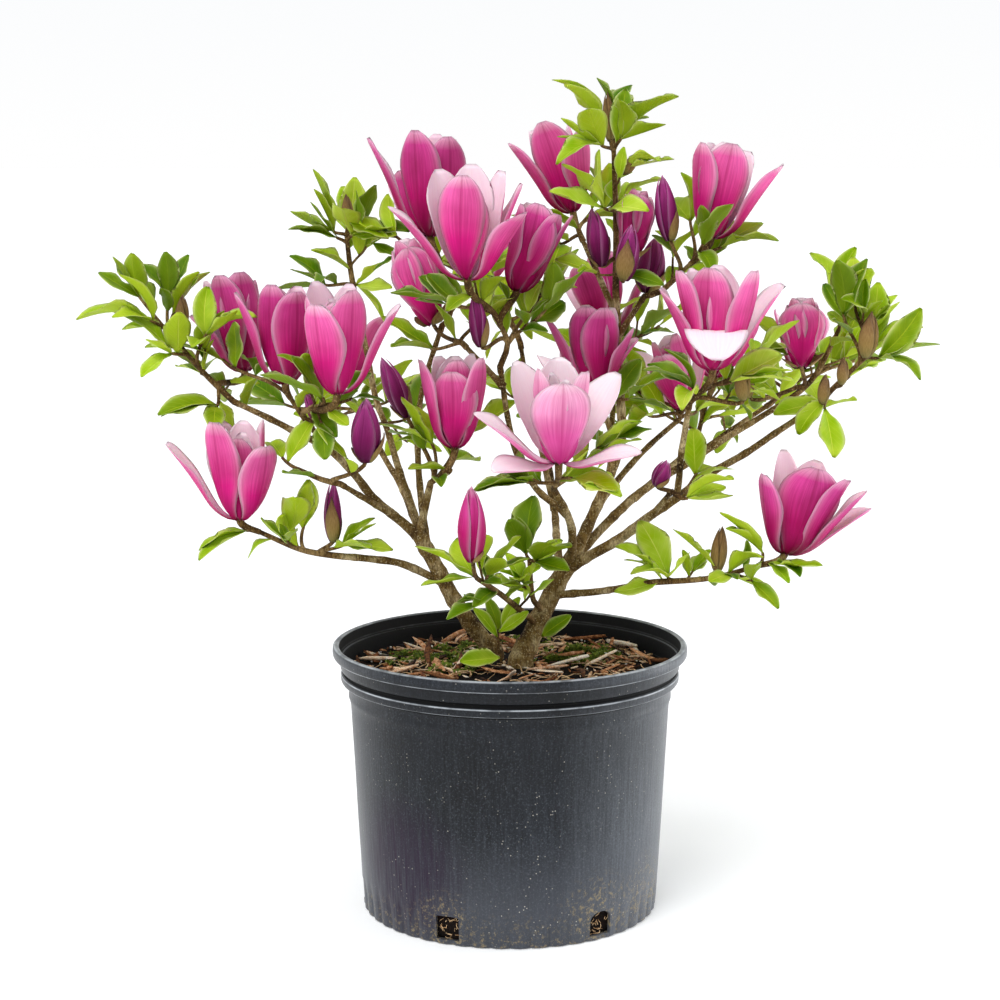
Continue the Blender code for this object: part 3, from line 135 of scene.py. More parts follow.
# Angles and directions
FULL_TURN = 2 * math.pi
GOLDEN_ANGLE = math.radians(137.5)
# How far a random turn or phase goes, in radians
RANDOM_TURN = 6.28
UP = Vector((0.0, 0.0, 1.0))
FLOWER_FACE = Vector((0.0, -1.0, 0.2))

Limb = namedtuple("Limb", "name parent at via tip root_radius tip_radius")
Bloom = namedtuple("Bloom", "base right front length opening turn shape", defaults=("",))
Bud = namedtuple("Bud", "base right front length width")
# A mass grows from its limb's tip, or from a share of the limb's length. Its extra leafy twigs
# reach this far from the middle of its stem
Mass = namedtuple("Mass", "name limb stem blooms buds tufts extra reach at", defaults=(0, 0.050, 1.0))
Tepal = namedtuple("Tepal", "turn lean curl length width cup")
Wood = namedtuple("Wood", "limb points radii")
Sprig = namedtuple("Sprig", "kind path radius tip_radius")

# Blooms whose tepals are measured one by one. Each row gives, in degrees and millimetres, the
# turn round the axis from the front, how far out and up the tip is, the width and the curl
SHAPES = {
    "left_low": [
        (320, 26, 80, 34, -8), (45, 33, 62, 36, -10), (275, 55, 60, 26, 10),
        (105, 20, 77, 30, -8), (165, 14, 75, 30, -8), (220, 22, 74, 30, -8),
    ],
    "left_front": [
        (325, 26, 70, 38, -12), (38, 22, 80, 34, -8), (85, 48, 67, 28, 8),
        (230, 24, 82, 34, -5), (150, 20, 80, 30, -8), (280, 22, 74, 28, -8),
    ],
    "left_behind": [
        (330, 16, 77, 32, -8), (30, 22, 72, 34, -10), (280, 38, 70, 28, 4),
        (90, 22, 70, 30, -8), (150, 18, 74, 30, -8), (215, 18, 74, 30, -8),
    ],
    "left_far": [
        (325, 20, 79, 32, -8), (20, 16, 80, 32, -8), (80, 16, 72, 30, -8),
        (245, 28, 74, 28, 0), (285, 40, 48, 26, 20), (170, 14, 76, 30, -8),
    ],
    "top_left": [
        (275, 50, 77, 28, 6), (330, 24, 84, 36, -10), (35, 24, 79, 38, -12),
        (95, 20, 76, 30, -8), (155, 14, 80, 30, -8), (215, 16, 78, 30, -8),
    ],
    "top_center": [
        (350, 14, 80, 34, -8), (225, 32, 80, 38, 2), (62, 50, 54, 32, 4),
        (282, 60, 56, 26, 14), (175, 24, 84, 32, -5), (120, 30, 80, 28, -2),
    ],
    "top_center_right": [
        (350, 14, 70, 34, -10), (50, 20, 66, 26, -2), (100, 26, 68, 24, 6),
        (160, 14, 68, 28, -8), (220, 16, 68, 28, -8), (285, 16, 66, 28, -8),
    ],
    "leader_left": [
        (280, 34, 68, 26, 6), (340, 12, 76, 34, -8), (45, 32, 60, 34, -8),
        (105, 18, 68, 28, -8), (165, 12, 70, 28, -8), (225, 16, 72, 28, -8),
    ],
    "leader_right": [
        (300, 24, 72, 34, -10), (10, 18, 75, 36, -10), (75, 46, 65, 30, 4),
        (180, 12, 74, 30, -8), (240, 16, 72, 28, -8), (130, 22, 70, 28, -4),
    ],
    "right_center": [
        (335, 14, 80, 36, -8), (50, 36, 80, 34, -6), (98, 53, 63, 34, 8),
        (170, 20, 76, 32, -6), (225, 24, 74, 30, -4), (278, 42, 62, 32, 8),
    ],
    "right_low": [
        (300, 42, 60, 32, -6), (230, 30, 75, 32, 0), (8, 20, 75, 46, -10),
        (60, 32, 72, 30, 0), (100, 56, 50, 26, 10), (160, 20, 74, 30, -5),
    ],
    "center_front": [
        (5, 24, 72, 42, -8), (235, 40, 71, 36, 4), (180, 16, 77, 34, 0),
        (125, 55, 58, 36, 6), (282, 64, 44, 26, 10), (75, 62, 14, 26, 12),
    ],
    "center_behind": [
        (335, 16, 68, 32, -10), (25, 18, 67, 32, -10), (275, 40, 60, 26, 6),
        (75, 32, 50, 30, -2), (130, 20, 64, 28, -4), (205, 16, 66, 28, -8),
    ],
    "center_left": [
        (350, 16, 62, 34, -10), (290, 28, 70, 28, -6), (60, 24, 72, 28, -8),
        (120, 16, 72, 28, -8), (180, 10, 70, 28, -8), (235, 16, 70, 28, -8),
    ],
}

# Trunks stand on the mix; every other limb leaves its parent at a share of its length
FEET = {
    "trunk_left": (-0.0130, 0.018),
    "trunk_right": (0.0085, -0.010),
}
FLARE = {
    "trunk_left": 0.30,
    "trunk_right": 0.26,
}

LIMBS = (
    Limb("trunk_left", None, 0.0, [(-0.043, 0.000, 0.245)], (-0.072, -0.015, 0.302), 0.0068, 0.0057),
    Limb("trunk_right", None, 0.0, [(0.028, 0.012, 0.238)], (0.052, 0.015, 0.280), 0.0084, 0.0071),
    Limb("bough_left_long", "trunk_left", 0.97, [(-0.105, -0.020, 0.330), (-0.140, -0.030, 0.370)],
         (-0.208, -0.020, 0.403), 0.0040, 0.0022),
    Limb("bough_left_second", "bough_left_long", 0.14, [], (-0.125, -0.060, 0.345), 0.0027, 0.0020),
    Limb("bough_left_low", "trunk_left", 0.62, [(-0.083, -0.020, 0.278)],
         (-0.130, -0.040, 0.288), 0.0033, 0.0026),
    Limb("bough_left_inner", "trunk_left", 0.98, [], (-0.062, -0.035, 0.340), 0.0032, 0.0028),
    Limb("bough_left_blooms", "bough_left_long", 0.56, [], (-0.151, -0.036, 0.386), 0.0027, 0.0022),
    Limb("bough_left_high", "trunk_left", 0.93, [(-0.088, 0.030, 0.348), (-0.107, 0.055, 0.400)],
         (-0.122, 0.060, 0.473), 0.0032, 0.0020),
    Limb("bough_inner_rise", "trunk_left", 0.86, [(-0.072, 0.004, 0.350), (-0.070, 0.020, 0.403)],
         (-0.055, 0.030, 0.455), 0.0030, 0.0019),
    Limb("bough_center_front", "trunk_right", 0.92, [(0.048, -0.020, 0.305)],
         (0.035, -0.050, 0.338), 0.0037, 0.0028),
    Limb("bough_center_long", "bough_center_front", 0.72, [(0.020, -0.020, 0.338), (0.004, -0.012, 0.365)],
         (-0.007, -0.020, 0.427), 0.0027, 0.0020),
    Limb("bough_center_side", "bough_center_long", 0.92, [], (-0.033, -0.035, 0.448), 0.0026, 0.0019),
    Limb("bough_leader", "trunk_right", 0.98, [(0.070, 0.015, 0.323), (0.087, 0.015, 0.375)],
         (0.083, 0.020, 0.482), 0.0049, 0.0028),
    Limb("bough_top_left", "bough_leader", 0.93, [], (0.058, 0.045, 0.525), 0.0026, 0.0019),
    Limb("bough_top_right", "bough_leader", 0.86, [], (0.102, 0.012, 0.480), 0.0026, 0.0020),
    Limb("bough_right_low", "trunk_right", 0.86, [(0.085, 0.000, 0.295), (0.158, -0.010, 0.348)],
         (0.235, -0.005, 0.398), 0.0045, 0.0022),
    Limb("bough_right_mid", "bough_right_low", 0.46, [(0.132, -0.032, 0.368)],
         (0.135, -0.050, 0.403), 0.0027, 0.0022),
    Limb("bough_right_spur", "bough_right_low", 0.36, [], (0.122, -0.038, 0.336), 0.0026, 0.0019),
    Limb("bough_right_upper", "trunk_right", 0.90, [(0.098, 0.030, 0.323), (0.145, 0.045, 0.350)],
         (0.220, 0.060, 0.395), 0.0040, 0.0022),
    Limb("bough_right_inner", "bough_leader", 0.20, [(0.100, 0.050, 0.350)],
         (0.135, 0.075, 0.378), 0.0030, 0.0020),
    Limb("bough_right_lowest", "trunk_right", 0.62, [(0.072, -0.010, 0.255)],
         (0.107, -0.030, 0.265), 0.0032, 0.0024),
    Limb("bough_center_back", "bough_leader", 0.44, [], (0.070, 0.012, 0.402), 0.0026, 0.0020),
    Limb("bough_back_left", "trunk_left", 0.80, [(-0.085, 0.080, 0.315)],
         (-0.113, 0.140, 0.357), 0.0035, 0.0022),
    Limb("bough_back_center", "trunk_right", 0.78, [(0.037, 0.090, 0.297)],
         (0.033, 0.150, 0.355), 0.0037, 0.0024),
    Limb("bough_back_right", "trunk_right", 0.95, [(0.092, 0.100, 0.302)],
         (0.155, 0.160, 0.345), 0.0039, 0.0024),
    Limb("bough_back_high", "bough_back_center", 0.55, [(0.022, 0.120, 0.370)],
         (0.010, 0.135, 0.432), 0.0028, 0.0019),
    Limb("bough_back_far", "bough_back_right", 0.60, [(0.177, 0.140, 0.357)],
         (0.215, 0.140, 0.383), 0.0027, 0.0019),
    Limb("bough_leader_back", "bough_leader", 0.34, [], (0.085, 0.100, 0.410), 0.0028, 0.0020),
)

MASSES = (
    Mass("foliage_left_tip", "bough_left_long", [(-0.237, -0.010, 0.427), (-0.262, -0.005, 0.455)],
         [Bloom((-0.2095, 0.032, 0.4238), -5, 0, 0.078, 0.40, 75, "left_far")],
         [Bud((-0.253, -0.005, 0.462), 1, 0, 0.026, 0.009)],
         [((-0.275, -0.020, 0.4675), (-0.3275, -0.035, 0.480)),
          ((-0.285, -0.010, 0.485), (-0.3075, -0.005, 0.515)),
          ((-0.265, 0.000, 0.485), (-0.265, -0.005, 0.520)),
          ((-0.2575, 0.010, 0.480), (-0.240, 0.020, 0.5075)),
          ((-0.2325, -0.020, 0.4575), (-0.205, -0.040, 0.475)),
          ((-0.260, -0.020, 0.4425), (-0.275, -0.045, 0.4575)),
          ((-0.225, -0.030, 0.4025), (-0.265, -0.050, 0.4025)),
          ((-0.240, 0.000, 0.425), (-0.2625, 0.020, 0.4275))]),
    Mass("foliage_left_second", "bough_left_second", [(-0.142, -0.070, 0.352), (-0.160, -0.070, 0.360)],
         [],
         [Bud((-0.107, -0.090, 0.370), 1, 5, 0.048, 0.022)],
         [(-0.172, -0.060, 0.367)]),
    Mass("foliage_left_low", "bough_left_low", [(-0.160, -0.050, 0.295), (-0.192, -0.055, 0.310)],
         [Bloom((-0.205, -0.060, 0.320), 0, 4, 0.080, 0.60, 80, "left_low")],
         [Bud((-0.135, -0.045, 0.302), 0, 0, 0.047, 0.012)],
         [((-0.200, -0.058, 0.311), (-0.2375, -0.065, 0.300)),
          ((-0.1675, -0.055, 0.310), (-0.1625, -0.060, 0.3375)),
          ((-0.1575, -0.050, 0.3125), (-0.120, -0.070, 0.335)),
          ((-0.1275, -0.045, 0.2975), (-0.105, -0.055, 0.320))]),
    Mass("foliage_left_inner", "bough_left_inner", [(-0.052, -0.050, 0.352)],
         [Bloom((-0.042, -0.045, 0.373), 0, 4, 0.076, 0.32, 100, "center_left")],
         [Bud((-0.080, -0.020, 0.395), -23, 0, 0.050, 0.016)],
         [((-0.045, -0.045, 0.356), (-0.0775, -0.060, 0.3575)),
          ((-0.060, -0.035, 0.375), (-0.0975, -0.045, 0.3975))],
         1),
    Mass("foliage_left_blooms", "bough_left_blooms", [(-0.167, -0.045, 0.411)],
         [Bloom((-0.127, -0.100, 0.420), 0, 4, 0.084, 0.55, 60, "left_front"),
          Bloom((-0.170, -0.050, 0.422), 0, 0, 0.078, 0.42, 10, "left_behind")],
         [Bud((-0.140, -0.052, 0.392), -30, 10, 0.030, 0.014)],
         [((-0.138, -0.095, 0.416), (-0.175, -0.120, 0.4475)),
          ((-0.120, -0.090, 0.414), (-0.080, -0.115, 0.4325)),
          (-0.222, -0.010, 0.437)]),
    Mass("foliage_left_high", "bough_left_high", [(-0.127, 0.060, 0.502), (-0.130, 0.060, 0.530)],
         [],
         [Bud((-0.128, 0.058, 0.540), -5, 0, 0.024, 0.008)],
         [((-0.140, 0.060, 0.5325), (-0.1525, 0.055, 0.5675)),
          ((-0.120, 0.055, 0.5325), (-0.110, 0.045, 0.5725)),
          ((-0.130, 0.070, 0.5325), (-0.1325, 0.078, 0.570)),
          ((-0.1375, 0.060, 0.5275), (-0.175, 0.050, 0.5375)),
          ((-0.125, 0.050, 0.530), (-0.090, 0.030, 0.535)),
          ((-0.1475, 0.060, 0.490), (-0.175, 0.050, 0.5025)),
          ((-0.1225, 0.060, 0.490), (-0.1025, 0.045, 0.510))]),
    Mass("foliage_inner_rise", "bough_inner_rise", [(-0.047, 0.030, 0.470), (-0.055, 0.030, 0.510)],
         [Bloom((-0.062, 0.030, 0.530), 0, 2, 0.084, 0.50, 95, "top_left")],
         [],
         [(-0.090, 0.035, 0.530)], 1),
    Mass("foliage_center_side", "bough_center_side", [(-0.045, -0.020, 0.453)],
         [],
         [Bud((-0.060, 0.000, 0.465), -19, 0, 0.070, 0.038)],
         [(-0.060, -0.035, 0.447)], 1, 0.045),
    Mass("foliage_center_high", "bough_center_long", [(-0.002, -0.020, 0.450), (-0.010, -0.030, 0.470)],
         [Bloom((-0.032, -0.070, 0.502), 0, 6, 0.086, 0.80, 50, "top_center"),
          Bloom((0.005, -0.020, 0.490), 16, 0, 0.076, 0.35, 20, "top_center_right")],
         [Bud((-0.022, -0.050, 0.452), -8, 5, 0.040, 0.013)],
         [(0.030, 0.000, 0.497), (-0.045, -0.060, 0.485), (0.027, -0.030, 0.477)]),
    Mass("foliage_center_front", "bough_center_front", [(0.035, -0.090, 0.355)],
         [Bloom((0.035, -0.120, 0.372), 0, 16, 0.082, 0.80, 65, "center_front")],
         [],
         [((0.045, -0.105, 0.358), (0.0775, -0.130, 0.3575)),
          ((0.0125, -0.085, 0.352), (-0.025, -0.100, 0.3600)),
          (0.065, -0.065, 0.368)], 1, 0.045),
    Mass("foliage_center_back", "bough_center_back", [(0.067, 0.006, 0.407)],
         [Bloom((0.065, 0.000, 0.412), 0, 2, 0.070, 0.60, 15, "center_behind")],
         [],
         [(0.092, 0.000, 0.405), (0.042, 0.000, 0.402)], 1, 0.045),
    Mass("foliage_leader_top", "bough_leader", [(0.0825, 0.020, 0.535), (0.080, 0.015, 0.597)],
         [],
         [Bud((0.093, 0.000, 0.517), 7, 0, 0.053, 0.030),
          Bud((0.070, 0.000, 0.510), -10, 5, 0.045, 0.016), Bud((0.087, -0.018, 0.500), 7, 5, 0.043, 0.016),
          Bud((0.0775, 0.015, 0.605), -4, 0, 0.038, 0.008), Bud((0.090, 0.010, 0.580), 28, 0, 0.018, 0.007)],
         [((0.070, 0.010, 0.6200), (0.040, 0.000, 0.6575)), ((0.085, 0.005, 0.605), (0.120, -0.010, 0.645)),
          ((0.0825, 0.022, 0.6225), (0.090, 0.030, 0.650)),
          ((0.070, 0.000, 0.600), (0.0375, -0.010, 0.620)),
          ((0.090, 0.010, 0.5825), (0.1225, -0.005, 0.5975)),
          ((0.0725, 0.000, 0.5525), (0.0375, -0.020, 0.585))]),
    Mass("foliage_top_left", "bough_top_left", [(0.053, 0.055, 0.538)],
         [Bloom((0.050, 0.060, 0.548), -18, 0, 0.070, 0.45, 85, "leader_left")],
         [],
         [(0.065, 0.050, 0.550), (0.040, 0.050, 0.523)], 1, 0.045),
    Mass("foliage_top_right", "bough_top_right", [(0.117, 0.010, 0.488), (0.140, 0.005, 0.510)],
         [Bloom((0.155, 0.000, 0.530), 9, 3, 0.074, 0.52, 25, "leader_right")],
         [Bud((0.1225, -0.010, 0.530), -8, 0, 0.050, 0.015),
          Bud((0.108, 0.035, 0.487), 10, -5, 0.045, 0.022)],
         [((0.1625, 0.000, 0.5225), (0.1925, -0.015, 0.530)),
          ((0.140, 0.020, 0.5425), (0.133, 0.025, 0.580)),
          ((0.147, -0.015, 0.525), (0.165, -0.040, 0.560)), (0.150, 0.022, 0.505)]),
    Mass("foliage_right_tip", "bough_right_low", [(0.250, 0.000, 0.412), (0.275, 0.000, 0.437)],
         [],
         [Bud((0.275, -0.010, 0.440), 5, 3, 0.036, 0.014), Bud((0.240, -0.022, 0.406), 6, 5, 0.023, 0.008),
          Bud((0.256, -0.014, 0.420), 3, 5, 0.021, 0.008)],
         [((0.258, 0.000, 0.470), (0.2525, -0.010, 0.515)), ((0.268, 0.010, 0.478), (0.2675, 0.015, 0.515)),
          ((0.2775, 0.006, 0.462), (0.295, 0.016, 0.480)), ((0.285, 0.004, 0.4475), (0.310, 0.010, 0.4725)),
          ((0.285, -0.005, 0.4375), (0.330, -0.015, 0.4525)),
          ((0.2425, -0.018, 0.400), (0.2625, -0.040, 0.4125))]),
    Mass("foliage_right_upper", "bough_right_upper", [(0.245, 0.060, 0.417), (0.262, 0.050, 0.455)],
         [],
         [Bud((0.232, 0.045, 0.428), -1, 0, 0.055, 0.038), Bud((0.192, 0.055, 0.402), -2, 0, 0.018, 0.007)],
         [(0.262, 0.050, 0.480)], 2),
    Mass("foliage_right_mid", "bough_right_mid", [(0.145, -0.065, 0.420)],
         [Bloom((0.150, -0.080, 0.436), 0, 8, 0.086, 0.76, 0, "right_center")],
         [Bud((0.176, -0.055, 0.412), -6, 4, 0.028, 0.011)],
         [((0.165, -0.068, 0.425), (0.2075, -0.080, 0.440)),
          ((0.137, -0.062, 0.420), (0.1025, -0.075, 0.4425)),
          (0.187, -0.040, 0.437)]),
    Mass("foliage_right_inner", "bough_right_inner", [(0.138, 0.076, 0.384)],
         [Bloom((0.140, 0.072, 0.390), -14, 0, 0.066, 0.50, 45)],
         [],
         [(0.112, 0.060, 0.385), (0.104, 0.065, 0.404)], 1),
    Mass("foliage_right_low", "bough_right_lowest", [(0.155, -0.035, 0.270), (0.192, -0.045, 0.282)],
         [Bloom((0.210, -0.050, 0.292), 15, 5, 0.080, 0.60, 15, "right_low")],
         [Bud((0.160, -0.037, 0.277), 5, 3, 0.036, 0.011)],
         [((0.1575, -0.042, 0.280), (0.125, -0.050, 0.3125)),
          ((0.117, -0.032, 0.268), (0.0925, -0.035, 0.290)),
          ((0.122, -0.033, 0.270), (0.1375, -0.040, 0.2925)),
          ((0.1675, -0.045, 0.275), (0.200, -0.060, 0.265)),
          ((0.193, -0.050, 0.292), (0.170, -0.060, 0.320)),
          ((0.1975, -0.050, 0.285), (0.212, -0.070, 0.278))]),
    Mass("foliage_right_spur", "bough_right_spur", [(0.130, -0.045, 0.334)],
         [],
         [Bud((0.112, -0.048, 0.345), 20, 5, 0.022, 0.012)],
         [((0.135, -0.047, 0.334), (0.170, -0.055, 0.336))], 1, 0.040),
    Mass("foliage_center_left", "trunk_right", [(-0.007, -0.050, 0.260), (-0.025, -0.115, 0.285)],
         [],
         [Bud((-0.0275, -0.130, 0.302), -1, 3, 0.056, 0.019)],
         [((-0.0275, -0.080, 0.280), (-0.070, -0.090, 0.3075)),
          ((-0.017, -0.088, 0.282), (0.015, -0.090, 0.295))], at=0.34),
    Mass("foliage_center_low", "trunk_right", [(0.0175, -0.018, 0.252), (0.015, -0.022, 0.282)],
         [],
         [],
         [((0.0125, -0.020, 0.286), (0.005, -0.025, 0.3175)),
          ((0.020, -0.028, 0.282), (0.045, -0.050, 0.302)),
          ((0.012, -0.026, 0.262), (-0.008, -0.045, 0.280))], at=0.46),
    Mass("foliage_back_left", "bough_back_left", [(-0.125, 0.158, 0.375)],
         [Bloom((-0.145, 0.170, 0.397), -8, -14, 0.072, 0.55, 20)],
         [],
         [(-0.190, 0.145, 0.385), (-0.150, 0.200, 0.370), (-0.100, 0.200, 0.385), (-0.085, 0.180, 0.370)]),
    Mass("foliage_back_center", "bough_back_center", [(0.030, 0.172, 0.370)],
         [Bloom((0.062, 0.198, 0.380), 6, -18, 0.070, 0.65, 50)],
         [],
         [(0.030, 0.220, 0.370), (0.000, 0.210, 0.390), (0.080, 0.170, 0.375)]),
    Mass("foliage_back_right", "bough_back_right", [(0.166, 0.166, 0.378)],
         [Bloom((0.175, 0.172, 0.405), 4, -10, 0.074, 0.50, 100)],
         [],
         [(0.130, 0.190, 0.375), (0.200, 0.195, 0.375), (0.165, 0.215, 0.385)]),
    Mass("foliage_back_high", "bough_back_high", [(-0.002, 0.145, 0.458), (-0.040, 0.150, 0.495)],
         [Bloom((-0.022, 0.170, 0.485), 0, -12, 0.074, 0.45, 10),
          Bloom((-0.070, 0.160, 0.520), -8, -8, 0.070, 0.30, 40)],
         [],
         [(0.035, 0.150, 0.470), (-0.050, 0.130, 0.505), (0.000, 0.190, 0.460)]),
    Mass("foliage_back_far", "bough_back_far", [(0.235, 0.155, 0.398)],
         [Bloom((0.248, 0.175, 0.412), 6, -12, 0.058, 0.30, 70)],
         [],
         [(0.270, 0.140, 0.420), (0.250, 0.200, 0.395), (0.215, 0.180, 0.410)]),
    Mass("foliage_leader_back", "bough_leader_back", [(0.085, 0.125, 0.430)],
         [Bloom((0.080, 0.140, 0.447), -4, -12, 0.070, 0.55, 35)],
         [],
         [(0.110, 0.130, 0.445), (0.055, 0.125, 0.435), (0.090, 0.165, 0.430)], 1),
)


# Objects and pieces

# The corners of a grid's face, as steps of row and column
CORNERS = ((0, 0), (0, 1), (1, 1), (1, 0))
# The map of a blade: its margin, the width and height of one face, and where the other face starts
MAP_MARGIN = 0.01
MAP_WIDTH = 0.48
MAP_HEIGHT = 0.98
MAP_OTHER_FACE = 0.50


def link_object(name, data):
    thing = bpy.data.objects.new(name, data)
    bpy.context.scene.collection.objects.link(thing)
    return thing


def closed_object(name, points, faces):
    """An object of one closed mesh, whose faces all look outward."""
    mesh = bpy.data.meshes.new(name)
    mesh.from_pydata(points, [], faces)
    work = bmesh.new()
    work.from_mesh(mesh)
    bmesh.ops.recalc_face_normals(work, faces=work.faces)
    work.to_mesh(mesh)
    work.free()
    return link_object(name, mesh)


def grid_faces(rows, columns, closed=False):
    """Four-sided faces of a grid of points, row by row, closed round each row if asked."""
    across = np.arange(columns if closed else columns - 1)
    up = np.arange(rows - 1)
    first = (up[:, None] * columns + across[None, :]).ravel()
    beside = (up[:, None] * columns + (across[None, :] + 1) % columns).ravel()
    return np.stack([first, beside, beside + columns, first + columns], axis=1)


class Batch:
    """A piece, gathered as arrays of points, faces and a place for each face corner."""

    def __init__(self):
        self.points = []
        self.faces = []
        self.places = []
        self.count = 0

    def add(self, points, faces, places):
        """Points n x 3, four-sided faces m x 4, places m x 4 x 3 or one place for all."""
        self.points.append(np.asarray(points, dtype=float))
        self.faces.append(np.asarray(faces, dtype=int) + self.count)
        self.places.append(np.broadcast_to(np.asarray(places, dtype=float), (len(faces), 4, 3)))
        self.count += len(points)

    def tree(self):
        """All its faces, to test what touches them."""
        points = np.concatenate(self.points)
        return BVHTree.FromPolygons(points.tolist(), np.concatenate(self.faces).tolist())

    def build(self, name, material, smooth=True):
        points = np.concatenate(self.points)
        faces = np.concatenate(self.faces)
        places = np.concatenate(self.places)
        mesh = bpy.data.meshes.new(name)
        mesh.vertices.add(len(points))
        mesh.vertices.foreach_set("co", points.ravel())
        mesh.loops.add(faces.size)
        mesh.loops.foreach_set("vertex_index", faces.ravel().astype(np.int32))
        mesh.polygons.add(len(faces))
        mesh.polygons.foreach_set("loop_start", np.arange(0, faces.size, 4, dtype=np.int32))
        mesh.update(calc_edges=True)
        mesh.attributes.new("place", "FLOAT_VECTOR", "CORNER")
        mesh.attributes["place"].data.foreach_set("vector", places.ravel())
        layer = mesh.uv_layers.new(name="OFBake")
        flat = places.reshape(-1, 3)
        spots = np.empty((len(flat), 2))
        spots[:, 0] = MAP_MARGIN + MAP_WIDTH * flat[:, 1] + MAP_OTHER_FACE * flat[:, 2]
        spots[:, 1] = MAP_MARGIN + MAP_HEIGHT * flat[:, 0]
        layer.data.foreach_set("uv", spots.ravel())
        if smooth:
            mesh.shade_smooth()
        mesh.materials.append(material)
        mesh.validate()
        thing = link_object(name, mesh)
        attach(thing, "root")
        return thing


# Paths

def smooth_path(knots, spacing):
    """Points along a smooth curve through the knots, about one for each spacing."""
    knots = [Vector(knot) for knot in knots]
    ends = [2 * knots[0] - knots[1]] + knots + [2 * knots[-1] - knots[-2]]
    points = [knots[0]]
    for before, start, finish, after in zip(ends, ends[1:], ends[2:], ends[3:]):
        count = max(1, round((finish - start).length / spacing))
        tangent_in = (finish - before) * 0.5
        tangent_out = (after - start) * 0.5
        for step in range(1, count + 1):
            t = step / count
            points.append(
                start * (2 * t**3 - 3 * t**2 + 1)
                + tangent_in * (t**3 - 2 * t**2 + t)
                + finish * (3 * t**2 - 2 * t**3)
                + tangent_out * (t**3 - t**2)
            )
    return points


def path_shares(points):
    """The share of a path's length that lies before each of its points."""
    total = [0.0]
    for start, finish in zip(points, points[1:]):
        total.append(total[-1] + (finish - start).length)
    return [length / total[-1] for length in total]


def path_length(points):
    return sum((finish - start).length for start, finish in zip(points, points[1:]))


def along(points, share):
    """The place and the direction at a share of a path's length."""
    shares = path_shares(points)
    index = 1
    while index < len(points) - 1 and share > shares[index]:
        index += 1
    part = (share - shares[index - 1]) / (shares[index] - shares[index - 1])
    start, finish = points[index - 1], points[index]
    return start.lerp(finish, part), (finish - start).normalized()


def kinked(points, seed):
    """The same path with its inner points moved a little at random."""
    draw = random.Random(seed)
    bent = list(points)
    for index in range(2, len(points) - 1):
        bent[index] = points[index] + Vector([draw.uniform(-KINK, KINK) for _ in range(3)])
    return bent


def tapered(points, start, finish, power=1.0):
    return [start + (finish - start) * share**power for share in path_shares(points)]


def turn_frame(direction, up):
    """Axes along a direction: across, along it, and the face that looks up."""
    forward = direction.normalized()
    normal = up - forward * up.dot(forward)
    if normal.length < 1e-4:
        normal = Vector((0.0, 1.0, 0.0)) - forward * forward.y
    normal.normalize()
    return forward.cross(normal), forward, normal


def lean_axis(right, front):
    """Which way a bloom or a bud points that leans this many degrees to the right and the front."""
    return Vector((math.tan(math.radians(right)), -math.tan(math.radians(front)), 1.0)).normalized()


# Round tubes whose rings follow the path without twisting

# The rounded tip: how far past the path's end each ring is, and its radius, in last radii
TIP_RINGS = ((0.55, 0.75), (0.85, 0.05))


def ring_axes(points):
    """Two axes across the path at each point, carried on from ring to ring."""
    tangents = []
    for index in range(len(points)):
        before = points[max(0, index - 1)]
        after = points[min(len(points) - 1, index + 1)]
        tangents.append((after - before).normalized())
    side = tangents[0].orthogonal().normalized()
    axes = []
    for tangent in tangents:
        side = (side - tangent * side.dot(tangent)).normalized()
        axes.append((side, tangent.cross(side)))
    return axes


def add_tube(batch, points, radii, sides, relief=None, strip=(0.0, 1.0)):
    """A tube with a rounded tip. Relief gives the share by which a point stands out."""
    middles = list(points)
    radii = list(radii)
    end, last = points[-1], radii[-1]
    tip_way = (end - points[-2]).normalized()
    for past, share in TIP_RINGS:
        middles.append(end + tip_way * last * past)
        radii.append(last * share)
    shares = path_shares(middles)
    spots = np.empty((len(middles) * sides, 3))
    for row, (middle, radius, (side, top)) in enumerate(zip(middles, radii, ring_axes(middles))):
        for column in range(sides):
            angle = FULL_TURN * column / sides
            way = side * math.cos(angle) + top * math.sin(angle)
            spot = middle + way * radius
            if relief:
                spot = middle + way * (radius * (1.0 + relief(spot, shares[row])))
            spots[row * sides + column] = spot
    faces = grid_faces(len(middles), sides, closed=True)
    low, high = strip
    rows = faces[:, 0] // sides
    columns = np.arange(len(faces)) % sides
    share = np.array(shares)
    place = np.zeros((len(faces), 4, 3))
    for corner, (step_row, step_column) in enumerate(CORNERS):
        place[:, corner, 0] = share[rows + step_row]
        place[:, corner, 1] = low + (high - low) * (columns + step_column) / sides
    batch.add(spots, faces, place)


# Limbs follow the solids' own rule, with closer rings

LIMB_SPACING = 0.0035
LIMB_SIDES = 18
LIMB_TAPER = 0.8
# A trunk's foot: its first upright stretch, and how deep it goes into the mix
FOOT_UPRIGHT = 0.004
FOOT_BURIED = 0.006
# A bough's collar: how much wider it is, and how soon it narrows, in root radii
COLLAR = 0.35
COLLAR_REACH = 2.2
# Old leaf scars: where the first is, how far apart they are, and their width along the limb
FIRST_SCAR = (0.012, 0.030)
SCAR_STEP = (0.014, 0.034)
SCAR_WIDTH = 0.0028
LAST_SCAR = 0.010
# How far the bark's grain, ridges and scars stand out, as shares of the radius
GRAIN_RELIEF = 0.055
RIDGE_RELIEF = 0.075
SCAR_RELIEF = 0.13
GRAIN_SCALE = 420.0
RIDGE_SCALE = (160, 160, 45)
DEEPEST_SCAR = 1.2
# What sets one limb's bark apart from the next, and how much of its strip of the map it fills
BARK_SEED = (7.1, 3.3, 1.7)
STRIP_FILLED = 0.98


